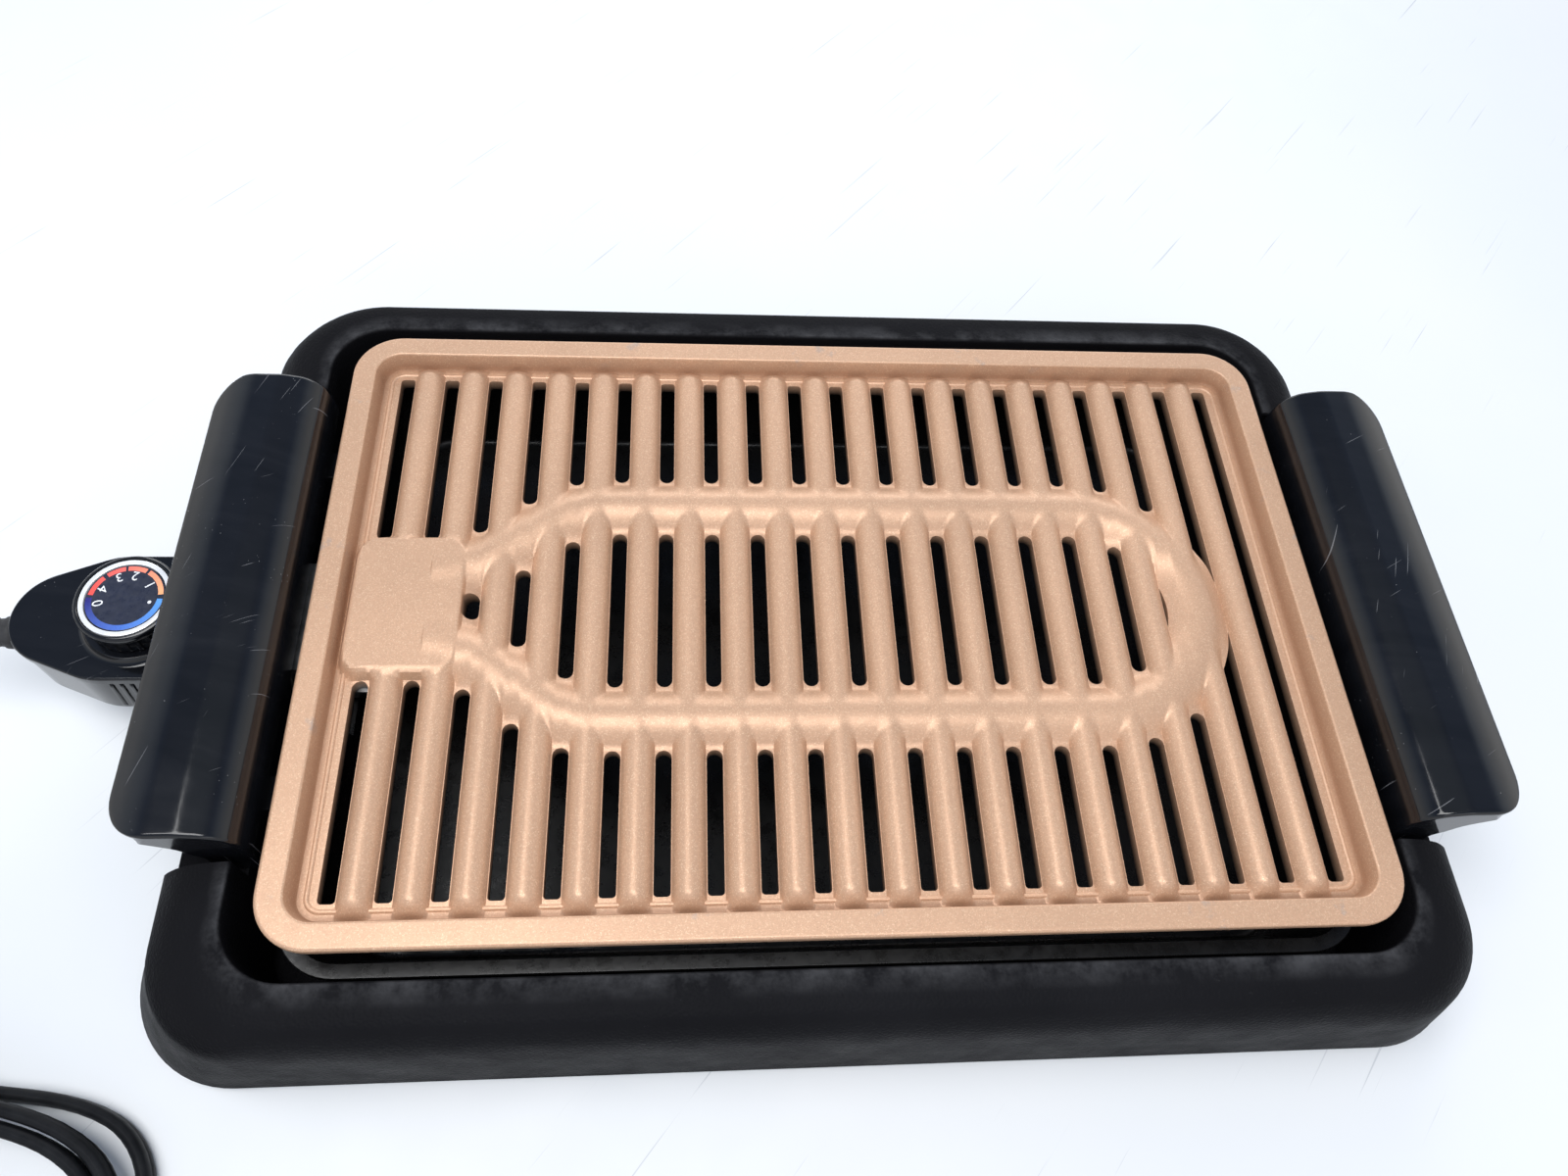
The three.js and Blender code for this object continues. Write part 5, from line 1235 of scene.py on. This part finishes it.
def well_space():
    """The well, with a rounded floor and a mouth that opens a little."""
    steps = [(inset, WELL_FLOOR + drop) for inset, drop in reversed(edge_steps(WELL_ROUNDING))]
    steps += [(inset, RIM_HEIGHT + rise) for inset, rise in WELL_MOUTH]
    return loft("well", [level(plan(WELL, inset, 14), z) for inset, z in steps])


def tub():
    """Solid round the well, up to the rim."""
    return prisms("tub", [plan(WELL, -BASE_WALL, 12)], WELL_FLOOR - BASE_WALL, RIM_HEIGHT - 1.3)


def notched_end(shell, side):
    """Cuts one short end down to its ledge and closes the skin round the notch."""
    far, half = side * (BASE[0] / 2 + 1), NOTCH_WIDTH / 2
    near = side * (WELL[0] / 2 - 1)
    span = lambda width, low, high: brick((near, -width, low), (far, width, high))
    cut(shell, span(half, -1, RIM_HEIGHT + 1))
    recessed = lambda: rim_space(NOTCH_RECESS, 0, SKIRT_LIP)
    skin = cut(recessed(), rim_space(NOTCH_RECESS + BASE_WALL, BASE_WALL, -1))
    ledge = common(recessed(), span(half, LEDGE_HEIGHT - BASE_WALL, LEDGE_HEIGHT))
    join(shell, common(join(skin, tub(), ledge), span(half + BASE_WALL / 2, -1, LEDGE_HEIGHT)))
    for end in ENDS:
        sheet = brick((side * WELL[0] / 2, end * half, -1), (far, end * (half + BASE_WALL), RIM_HEIGHT + 1))
        join(shell, common(rim_space(0, 0, SKIRT_LIP), sheet))


class GRILL_OT_base(Piece, bpy.types.Operator):
    """Moulds the base: rolled rim and skirt, tub, notches for the handles and port for the control"""

    bl_idname = "grill.base"
    bl_label = "Base"

    def build(self, settings):
        shell = join(cut(rim_space(0, 0, SKIRT_LIP), rim_space(BASE_WALL, BASE_WALL, -1)), tub())
        for side in ENDS:
            notched_end(shell, side)
        half, far, near = PORT_WIDTH / 2, -BASE[0] / 2 - 1, -WELL[0] / 2
        low, high = (far, -half - BASE_WALL, PORT_FLOOR - BASE_WALL), (near, half + BASE_WALL, LEDGE_HEIGHT)
        join(shell, common(rim_space(NOTCH_RECESS, 0, SKIRT_LIP), brick(low, high)))
        cut(shell, well_space(), brick((far, -half, PORT_FLOOR), (near + 1, half, RIM_HEIGHT + 1)))
        length, spacing, width, rise = FLOOR_RIB
        for y in (-spacing / 2, spacing / 2):
            low = (-length / 2, y - width / 2, WELL_FLOOR - 1.5)
            join(shell, block("rib", low, (length / 2, y + width / 2, WELL_FLOOR + rise), 0.6))
        places = [(sx * FOOT_SPACING[0] / 2, sy * FOOT_SPACING[1] / 2) for sx in ENDS for sy in ENDS]
        cut(shell, *bores(FOOT_BORE, places, WELL_FLOOR - BASE_WALL - 2, WELL_FLOOR + 2))
        z = coordinates(shell.data)[:, 2] * 1000
        mark(shell, "edge", (z - RIM_HEIGHT + 0.9) / 0.7)
        present(to_base(shell), "base", ["base_shell"], "grained_black", 34)


class GRILL_OT_feet(Piece, bpy.types.Operator):
    """Sets four rubber feet on a grid with a node tree"""

    bl_idname = "grill.feet"
    bl_label = "Feet"

    def build(self, settings):
        foot = lathe("feet", [
            (2.4, 1.1), (4.3, 1), (5, 0.15), (5.6, 0), (7.4, 0), (8.1, 0.35), (8.7, 1.1), (9, 2), (9, 5.2),
            (8.7, 5.7), (3.2, 5.8), (3.2, 8), (2.9, 8.4),
        ], segments=40)
        tree = Tree("feet", Length=("Float", 0.32), Width=("Float", 0.196))
        grid = tree.geometry("MeshGrid", {
            "Size X": tree.given["Length"], "Size Y": tree.given["Width"], "Vertices X": 2, "Vertices Y": 2,
        })
        length, width = (spacing * 0.001 for spacing in FOOT_SPACING)
        grow(foot, tree.end(tree.copies(grid), looks["rubber_black"]), Length=length, Width=width)
        present(to_base(foot), "base", corner_names("foot"), "rubber_black")


def tray_pan(inset, low, high):
    """Drafted pan with a rounded floor edge."""
    rings = []
    for z, pinch in ((low, 2.4), (low + 0.25, 1.3), (low + 0.8, 0.5), (low + 2, 0), (high, 0)):
        lean = TRAY_FLANGE + inset + pinch + TRAY_DRAFT * (high - z) / (high - low)
        rings.append(level(outline(TRAY[0] / 2 - lean, TRAY[1] / 2 - lean, TRAY[2] - inset, 12), z))
    return loft("pan", rings)


class GRILL_OT_tray(Piece, bpy.types.Operator):
    """Presses the drip tray, with its flange and rolled lip"""

    bl_idname = "grill.tray"
    bl_label = "Drip tray"

    def build(self, settings):
        floor = WELL_FLOOR + FLOOR_RIB[3] + GAP
        size = (*TRAY[:2], TRAY[2] + TRAY_FLANGE)
        lip = pillow("lip", lambda inset: plan(size, inset, 12), TRAY_TOP - TRAY_LIP, TRAY_TOP, 0.5)
        inside = [plan(size, TRAY_WALL, 12)]
        cut(lip, prisms("inside", inside, TRAY_TOP - TRAY_LIP - 1, TRAY_TOP - TRAY_WALL))
        tray = join(tray_pan(0, floor, TRAY_TOP), lip)
        tray.name = "tray"
        end, (width, low) = -TRAY[0] / 2, TRAY_NOTCH
        notch = brick((end - 1, -width / 2, low), (end + TRAY_FLANGE + TRAY_DRAFT, width / 2, TRAY_TOP + 1))
        cut(tray, tray_pan(TRAY_WALL, floor + TRAY_WALL, TRAY_TOP + TRAY_WALL), notch)
        present(to_base(tray), "tray", ["drip_tray"], "enamel_black")


# The control

def arc(x, y, radius, start, end, steps):
    """Plan points on an arc, angles in turns."""
    turn = np.linspace(start, end, steps + 1) * 2 * math.pi
    return np.column_stack((x + radius * np.cos(turn), y + radius * np.sin(turn)))


def control_plan(inset):
    """Plan of the control: square nose, round body and narrower tail."""
    (nose, corner), (tail, tail_half) = CONTROL_NOSE, CONTROL_TAIL
    lean = 0.5 - math.acos((CONTROL_HALF - tail_half) / (CONTROL_BODY_X - tail)) / (2 * math.pi)
    half = CONTROL_HALF - inset
    upper = np.vstack((
        arc(nose - inset - corner, half - corner, corner, 0, 0.25, 6),
        arc(CONTROL_BODY_X, 0, half, 0.25, lean, 8), arc(tail, 0, tail_half - inset, lean, 0.5, 14),
    ))
    return np.vstack((upper, upper[-2::-1] * (1, -1)))


class GRILL_OT_upper_housing(Piece, bpy.types.Operator):
    """Moulds the control's lid with the dial's flared collar and its screw bosses"""

    bl_idname = "grill.upper_housing"
    bl_label = "Upper housing"

    def build(self, settings):
        edge = [level(control_plan(inset), CONTROL_TOP - drop) for inset, drop in edge_steps(0.9, 5)]
        lid = loft("lid", [level(control_plan(0.25), SEAM + 0.15), level(control_plan(0), SEAM + 0.4), *edge])
        hollow = control_plan(LID_OVERHANG + CONTROL_WALL)
        cut(lid, prisms("hollow", [hollow], SEAM - 1, CONTROL_TOP - CONTROL_WALL))
        collar = [(21.5, 55.3), (21.5, 56.85), (21.2, 57.02), (20.5, 57.2), (19.8, 57.6), (19.25, 58.3),
                  (18.95, 59.1), (18.7, 59.5), (18.3, 59.6)]
        join(lid, lathe("collar", collar, (DIAL_X, 0), 96))
        low = CONTROL_BOTTOM + CONTROL_WALL + GAP
        join(lid, *bores(SCREW_BOSS, CONTROL_SCREWS, low, CONTROL_TOP - 0.8, 32))
        cut(lid, *bores(SCREW_BORE, CONTROL_SCREWS, CONTROL_BOTTOM, SEAM))
        cut(lid, *bores(SPINDLE_BORE, [(DIAL_X, 0)], SEAM, CONTROL_TOP + 4, 40))
        present(lid, "control", ["control_upper_housing"], "gloss_black", 34)


def grip_ribs(end):
    """One side's row of slanted grip ribs, repeated by a node tree."""
    count, pitch, width, rise, slant, start = GRIP
    shape = ((-0.5, -1.2), (0.5, -1.2), (0.5, 0.35), (0.36, 0.8), (0, 1), (-0.36, 0.8), (-0.5, 0.35))
    shape = np.array(shape)
    reach = CONTROL_HALF - LID_OVERHANG
    rings = []
    for share, size in ((0, 0.2), (0.04, 0.85), (0.1, 1), (0.9, 1), (0.96, 0.85), (1, 0.2)):
        x = start + slant * share + shape[:, 0] * width
        y = end * (reach + shape[:, 1] * rise * np.where(shape[:, 1] > 0, size, 1))
        rings.append(np.column_stack((x, y, np.full(len(x), 33 + 18.4 * share))))
    rib = loft("grip", rings)
    tree = Tree("grip", Count=("Int", 7), Pitch=("Float", 0.0035))
    tree.end(tree.copies(tree.row()), looks["gloss_black"])
    return grow(rib, tree, Count=count, Pitch=pitch * 0.001)


class GRILL_OT_lower_housing(Piece, bpy.types.Operator):
    """Moulds the control's body with its grip ribs, mouth and gland"""

    bl_idname = "grill.lower_housing"
    bl_label = "Lower housing"

    def build(self, settings):
        side = lambda inset, z: level(control_plan(LID_OVERHANG + inset), z)
        foot = [side(inset, CONTROL_BOTTOM + drop) for inset, drop in edge_steps(1.2, 5)]
        body = loft("body", [*foot[::-1], side(0, SEAM - 0.15)])
        join(body, grip_ribs(-1), grip_ribs(1))
        nose, tail = CONTROL_NOSE[0], CONTROL_TAIL[0]
        floor = CONTROL_BOTTOM + CONTROL_WALL
        cut(body, loft("hollow", [side(CONTROL_WALL, z) for z in (floor, SEAM + 1)]),
            brick((nose + 1, -MOUTH[0], MOUTH[1]), (nose - 4, MOUTH[0], SEAM + 1)),
            rod(GLAND_RADIUS, (tail, 0, TERMINAL_HEIGHT), (tail - 25, 0, TERMINAL_HEIGHT), 40))
        cut(body, *bores(SCREW_BORE, CONTROL_SCREWS, CONTROL_BOTTOM - 1, floor + 1))
        present(body, "control", ["control_lower_housing"], "gloss_black", 34)


class GRILL_OT_dial(Piece, bpy.types.Operator):
    """Turns the knob with its flutes, the bright ring and the face, and prints the numbers"""

    bl_idname = "grill.dial"
    bl_label = "Dial"

    def build(self, settings):
        knob = lathe("knob", [
            (15.9, 60), (16.4, 60.5), (16.4, 67.2), (17.1, 67.5), (17.55, 68), (17.7, 68.6), (17.7, 69.9),
            (17.5, 70.5), (17.1, 70.85), (16.6, 71), (16.2, 71), (16, 70.8), (16, 69.4),
        ], (DIAL_X, 0), 104)
        flute = lathe("flute", [(0.5, 60.3), (0.9, 60.8), (0.9, 67.6)], (DIAL_X, 0), 12)
        tree = Tree("flutes", Count=("Int", 26), Radius=("Float", 0.016))
        circle = {"Vertices": tree.given["Count"], "Radius": tree.given["Radius"]}
        tree.end(tree.copies(tree.geometry("MeshCircle", circle)), looks["gloss_black"])
        grow(flute, tree, Count=settings.flutes, Radius=FLUTE_RADIUS * 0.001)
        cut(join(knob, flute), *bores(SPINDLE_BORE, [(DIAL_X, 0)], 59, 67.8, 32))
        present(knob, "dial", ["dial_knob"], "gloss_black", 38)
        ring = lathe("ring", [
            (13.8, 69.7), (15.7, 69.7), (15.7, 70.5), (15.55, 70.85), (15.2, 71), (14.3, 71), (13.95, 70.88),
            (13.8, 70.6),
        ], (DIAL_X, 0), 96, closed=True)
        present(ring, "dial", ["dial_ring"], "bright_ring")
        face = lathe("face", [(13.5, 69.7), (13.5, 70.5), (13.4, 70.64), (13.2, 70.7)], (DIAL_X, 0), 96)
        present(face, "dial", ["dial_face"], "navy_face")
        present(dial_print(), "dial", [], "bright_ring", look="print_white")


def dial_print():
    """The dial's figures as one mesh, their tops towards the centre."""
    points, faces = [], []
    reach, height = FIGURE_PLACE
    for text, turn in FIGURES:
        curve = bpy.data.curves.new("figure", "FONT")
        curve.body, curve.size, curve.extrude = text, FIGURE_SIZE * 0.001, 0.00002
        curve.align_x, curve.align_y = "CENTER", "CENTER"
        holder = hold("figure", curve)
        bpy.context.view_layer.update()
        mesh = bpy.data.meshes.new_from_object(holder.evaluated_get(bpy.context.evaluated_depsgraph_get()))
        bpy.data.objects.remove(holder)
        bpy.data.curves.remove(curve)
        angle = math.radians(turn)
        centre = np.array((DIAL_X + reach * math.cos(angle), reach * math.sin(angle), height)) * 0.001
        centre = Matrix.Translation(centre + (SHIFT, 0, 0))
        mesh.transform(centre @ Matrix.Rotation(angle + math.pi / 2, 4, "Z"))
        faces += [[len(points) + v for v in face.vertices] for face in mesh.polygons]
        points += millimetres(mesh).tolist()
        bpy.data.meshes.remove(mesh)
    return add_object("print", points, faces)


class GRILL_OT_screws(Piece, bpy.types.Operator):
    """Sets each group of screws from one screw with a node tree"""

    bl_idname = "grill.screws"
    bl_label = "Screws"

    def build(self, settings):
        guard, tabs = screw_places()
        case = [(x, y, CONTROL_BOTTOM - GAP) for x, y in CONTROL_SCREWS]
        self.set_row("tab_screws", "head", tabs, 6.9, corner_names("handle_screw"))
        self.set_row("guard_screws", "head", guard, 4.9, ["guard_screw_front", "guard_screw_rear"])
        self.set_row("case_screws", "control", case, 20, [f"control_screw_{k}" for k in (1, 2, 3)])

    def set_row(self, name, body, places, length, nodes):
        at = -SHIFT * 1000
        screw = lathe("screw", [
            (1.9, -2.2), (2.3, -2.15), (3, -1.7), (3.5, -0.9), (3.6, -0.4), (3.6, 0), (1.75, 0),
            (1.75, length - 1), (0.8, length),
        ], (at, 0), 32)
        for x, y in ((2.2, 0.4), (0.4, 2.2)):
            cut(screw, brick((at - x, -y, -3), (at + x, y, -1.2)))
        made = add_object(name, places, [])
        tree = Tree(name, Screw=("Object", None), Size=("Float", 1.0))
        shape = tree.add("GeometryNodeObjectInfo", {"Object": tree.given["Screw"]}).outputs["Geometry"]
        turn = {"Max": (0.0, 0.0, 3.0), "Seed": 4}
        turn = tree.add("FunctionNodeRandomValue", turn, data_type="FLOAT_VECTOR")
        row = tree.copies(tree.given["Geometry"], shape, Rotation=turn.outputs[0], Scale=tree.given["Size"])
        grow(made, tree.end(row, looks["steel"]), Screw=screw, Size=1.0)
        discard(screw)
        present(made, body, nodes, "steel")


class GRILL_OT_relief(Piece, bpy.types.Operator):
    """Grows the strain relief's tapering rings along its core"""

    bl_idname = "grill.relief"
    bl_label = "Strain relief"

    def build(self, settings):
        core = lathe("relief", [
            (6.9, -293.44), (7.35, -293.9), (7.35, -296.3), (7, -296.64), (6.2, -296.64), (6.2, -301),
            (7, -301), (7.35, -301.4), (7.35, -303.6), (7, -304), (5.5, -304), (4.4, -338.1), (4.1, -338.5),
        ], segments=48, axis="x", height=TERMINAL_HEIGHT)
        at = -SHIFT * 1000
        ring = lathe("rings", [
            (4, at - 1.9), (5.6, at - 1.8), (6.1, at - 1.2), (6.2, at),
            (6.1, at + 1.2), (5.6, at + 1.8), (4, at + 1.9),
        ], segments=48, axis="x")
        tree = Tree("relief", Count=("Int", 5), Pitch=("Float", 0.007), Taper=("Float", 0.04))
        count, pitch, taper, first = RELIEF_RINGS
        start = (first * 0.001 + SHIFT, 0.0, TERMINAL_HEIGHT * 0.001)
        index = tree.add("GeometryNodeInputIndex").outputs[0]
        size = tree.math("SUBTRACT", 1.0, tree.math("MULTIPLY", index, tree.given["Taper"]))
        size = tree.add("ShaderNodeCombineXYZ", {"X": 1.0, "Y": size, "Z": size}).outputs[0]
        tree.end(tree.copies(tree.row(start), Scale=size), looks["rubber_black"])
        grow(ring, tree, Count=count, Pitch=pitch * 0.001, Taper=taper)
        present(join(core, ring), "control", ["strain_relief"], "rubber_black", 40)


# The lead

def turned(points, angle):
    """Points turned about the upright axis."""
    c, d = math.cos(angle), math.sin(angle)
    x, y, z = np.asarray(points, float).T
    return np.column_stack((c * x - d * y, d * x + c * y, z))


def waist_share(s):
    """How near a place on a run is to the hank's waist, from 0 to 1."""
    return (1 + math.cos(math.pi * s / HALF_RUN)) / 2


def draw_angle(draw, s):
    """Lean of a run that is drawn in at the waist."""
    return math.atan(draw * math.pi / (2 * HALF_RUN) * math.sin(math.pi * s / HALF_RUN))


def innermost(step):
    """Place on the innermost loop, with the sideways angle: far run, right fold, near run, left fold."""
    part, share = divmod(step % LOOP_STEPS, FOLD_STEPS)
    share /= FOLD_STEPS
    side = 1 if part < 2 else -1
    if part % 2:
        angle = side * math.pi / 2 - math.pi * share
        return side * HALF_RUN + FOLD_RADIUS * math.cos(angle), FOLD_RADIUS * math.sin(angle), angle, False
    s, draw = side * HALF_RUN * (2 * share - 1), DRAWS[int(part) // 2]
    return s, side * (FOLD_RADIUS - draw * waist_share(s)), side * (math.pi / 2 + draw_angle(draw, s)), True


def hank_ring(step):
    """Centre and sideways direction of the hank's centreline at a step."""
    s, n, angle, run = innermost(step)
    out = STRAND_PITCH * abs(step - LAYER_STEPS) / LOOP_STEPS
    risen = (step - LOOP_STEPS) / FOLD_STEPS
    share = 0 if risen <= 0 else 1 if risen >= 1 else float(ease(s / LAYER_BLEND + 0.5))
    pivot = np.array((0, FOLD_RADIUS - DRAWS[0], 0))
    place = np.array((s + out * math.cos(angle), n + out * math.sin(angle), 0)) - pivot
    place = turned([place], share * LAYER_TURN)[0]
    lift = WAIST_LIFT * waist_share(s) if run else 0
    height = TABLE_GAP + LEAD_HALF + lift + float(ease(risen)) * LAYER_STEP
    angle += share * LAYER_TURN
    return place + pivot + (0, 0, height), np.array((math.cos(angle), math.sin(angle), 0))


def carried(ring, length, height):
    """A ring moved on along the lead, to a height."""
    centre, side = ring
    place = centre + np.array((side[1], -side[0], 0)) * length
    return np.array((place[0], place[1], height)), side


def hank_rings():
    """The hank from its first fold to the plug, in its own frame."""
    turns = [hank_ring(step) for step in np.arange(0, LAST_STEP + 0.01, 0.25)]
    first, last, low = turns[0], turns[-1], TABLE_GAP + PLUG[5] / 2
    high = last[0][2]
    shares = np.arange(1, 13) / 12
    tail = [carried(last, HANK_TAIL * share, high - (high - low) * ease(2 * share - 1)) for share in shares]
    return [carried(first, -9, first[0][2]), *turns, *tail, carried(last, HANK_TAIL + 8.7, low)]


def in_place(points):
    """Points of the hank's frame in the grill's."""
    return turned(points, HANK_HEADING) + (*HANK_WAIST, 0)


def tube(name, path, section):
    """Solid along a path, its section upright across it."""
    rings = []
    for i, at in enumerate(path):
        along = path[min(i + 1, len(path) - 1)] - path[max(i - 1, 0)]
        along /= np.linalg.norm(along)
        aside = np.cross((0, 0, 1), along)
        aside /= np.linalg.norm(aside)
        up = np.cross(along, aside)
        rings.append([at + a * aside + b * up for a, b in section])
    return loft(name, rings)


def lead_path():
    """Centreline of the lead from the strain relief to the plug."""
    free = np.array(LEAD_ROUTE) * 1000 - (SHIFT * 1000, 0, 0)
    hank = in_place([centre for centre, _ in hank_rings()])
    path = catmull([*free, *hank[:3]], 4)
    return np.vstack((path, hank[3:]))


def tie_loop():
    """Loop of the tie round both stacks of the hank."""
    half, corner, wall, clear = TIE
    centres = np.array([hank_ring(step)[0] for step in range(LAST_STEP + 1)])
    across = [p[1] for a, b in zip(centres, centres[1:]) if a[0] * b[0] <= 0 for p in (a, b)]
    bottom, top = WAIST_LIFT, WAIST_LIFT + LAYER_STEP + 2 * (LEAD_HALF + TABLE_GAP)
    reach, rise = (max(across) - min(across)) / 2 + clear, (top - bottom) / 2
    centre = np.array((0, (max(across) + min(across)) / 2, (bottom + top) / 2))
    walls = [outline(reach + grown, rise + grown, corner + grown, 8) for grown in (0, wall)]
    rings = []
    for inner, outer in zip(*walls):
        ring = [(along * half, *(inner + (outer - inner) * share)) for along, share in TIE_SECTION]
        rings.append(in_place(turned(ring + centre, LAYER_TURN / 2)))
    return loft("tie", rings, closed=True)


def plug_shape():
    """Moulded plug at the hank's end, with sockets for its blades."""
    side = hank_rings()[-1][1]
    end = carried(hank_ring(LAST_STEP), HANK_TAIL + 9, TABLE_GAP + PLUG[5] / 2)[0]
    set_down = lambda ring: in_place(turned(ring, math.atan2(-side[0], side[1])) + end)
    neck, width, height, length, wide, tall = PLUG
    start = PLUG_START + neck
    stages = [(PLUG_START, 0.8 * width, 0.8 * height), (0.7, width, height), (neck, width, height)]
    for along, share in PLUG_SHARES:
        stages.append((start + along * (length - PLUG_START), width + share * (wide - width),
                       height + share * (tall - height)))
    rings = []
    for x, w, h in stages:
        corner = min(PLUG_CORNER, w * 0.475, h * 0.475)
        rings.append(set_down([(x, y, z) for y, z in outline(w / 2, h / 2, corner, 6)]))
    half, tall, deep = BLADE_SOCKET
    sockets = []
    for middle in (-BLADE_SPACING / 2, BLADE_SPACING / 2):
        slot = [(middle + y, z) for y, z in ((-half, -tall), (half, -tall), (half, tall), (-half, tall))]
        ends = (start + length - deep, start + length + 1)
        sockets.append([set_down([(x, y, z) for y, z in slot]) for x in ends])
    return cut(loft("plug", rings), *(loft("socket", socket) for socket in sockets))


class GRILL_OT_lead(Piece, bpy.types.Operator):
    """Lays the flat lead from the control into its hank, with the tie round it and the plug at its end"""

    bl_idname = "grill.lead"
    bl_label = "Lead"

    def build(self, settings):
        core, offset = LEAD_CORE
        angles = (math.pi / 6, math.pi / 3, math.pi / 2)
        half = [(core * math.cos(a), offset + core * math.sin(a)) for a in angles]
        half = [*((a, -b) for a, b in reversed(half)), *((a, -b) for a, b in reversed(LEAD_FLUTE)),
                (LEAD_WAIST, 0), *LEAD_FLUTE, *half]
        path = lead_path()
        lead = tube("lead", path, half + [(-a, -b) for a, b in half])
        present(lead, "control", ["lead_free", "lead_hank"], "lead_grey", 50)
        tie = present(tie_loop(), "control", ["lead_tie"], "rubber_black")
        plug = present(plug_shape(), "control", ["plug_body"], "lead_grey", 40)


class GRILL_OT_inner_parts(Piece, bpy.types.Operator):
    """Finishes the parts that are kept as they are"""

    bl_idname = "grill.inner_parts"
    bl_label = "Inner parts"

    def build(self, settings):
        for finish, nodes in KEPT_LOOKS.items():
            for name in nodes:
                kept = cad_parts[name]
                kept.data.materials.clear()
                kept.data.materials.append(looks[finish])


PIECES = (
    GRILL_OT_stage, GRILL_OT_lead, GRILL_OT_plate, GRILL_OT_handles, GRILL_OT_base, GRILL_OT_feet,
    GRILL_OT_tray, GRILL_OT_upper_housing, GRILL_OT_lower_housing, GRILL_OT_dial, GRILL_OT_relief,
    GRILL_OT_element, GRILL_OT_screws, GRILL_OT_inner_parts,
)


class GrillSettings(bpy.types.PropertyGroup):
    """Sizes and colours that a user would change"""

    coating: FloatVectorProperty(
        name="Coating", description="Colour of the plate's coating", subtype="COLOR", size=3, min=0, max=1,
        default=(0.59, 0.36, 0.228),
    )
    # Strength of the painted glints on the coating's flakes
    glint_strength: FloatProperty(
        name="Sparkle", description="Strength of the bright flakes in the coating", min=0, max=1, default=0.3,
    )
    rib_rise: FloatProperty(
        name="Rib height", description="Rise of the ribs over the plate's floor", unit="LENGTH",
        min=0.002, max=0.007, default=0.0055,
    )
    ridge_rise: FloatProperty(
        name="Ridge height", description="Rise of the ridge over the element", unit="LENGTH",
        min=0.003, max=0.008, default=0.0062,
    )
    flutes: IntProperty(
        name="Flutes", description="Flutes round the dial's knob", min=12, max=32, default=26,
    )
    room: FloatProperty(
        name="Room light", description="Strength of the light from all round", min=0, max=5, default=1,
    )


class GRILL_PT_panel(bpy.types.Panel):
    """Lists the grill's pieces and settings in the sidebar"""

    bl_idname = "GRILL_PT_panel"
    bl_label = "Indoor grill"
    bl_space_type = "VIEW_3D"
    bl_region_type = "UI"
    bl_category = "Grill"

    def draw(self, context):
        for name in GrillSettings.__annotations__:
            self.layout.prop(context.scene.grill, name)
        for piece in PIECES:
            self.layout.operator(piece.bl_idname)


CLASSES = (GrillSettings, *PIECES, GRILL_PT_panel)


def register():
    for one in CLASSES:
        bpy.utils.register_class(one)
    bpy.types.Scene.grill = bpy.props.PointerProperty(type=GrillSettings)


def unregister():
    del bpy.types.Scene.grill
    for one in reversed(CLASSES):
        bpy.utils.unregister_class(one)


def main():
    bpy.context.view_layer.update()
    register()
    for piece in PIECES:
        getattr(bpy.ops.grill, piece.bl_idname.split(".")[1])()


if __name__ == "__main__":
    main()
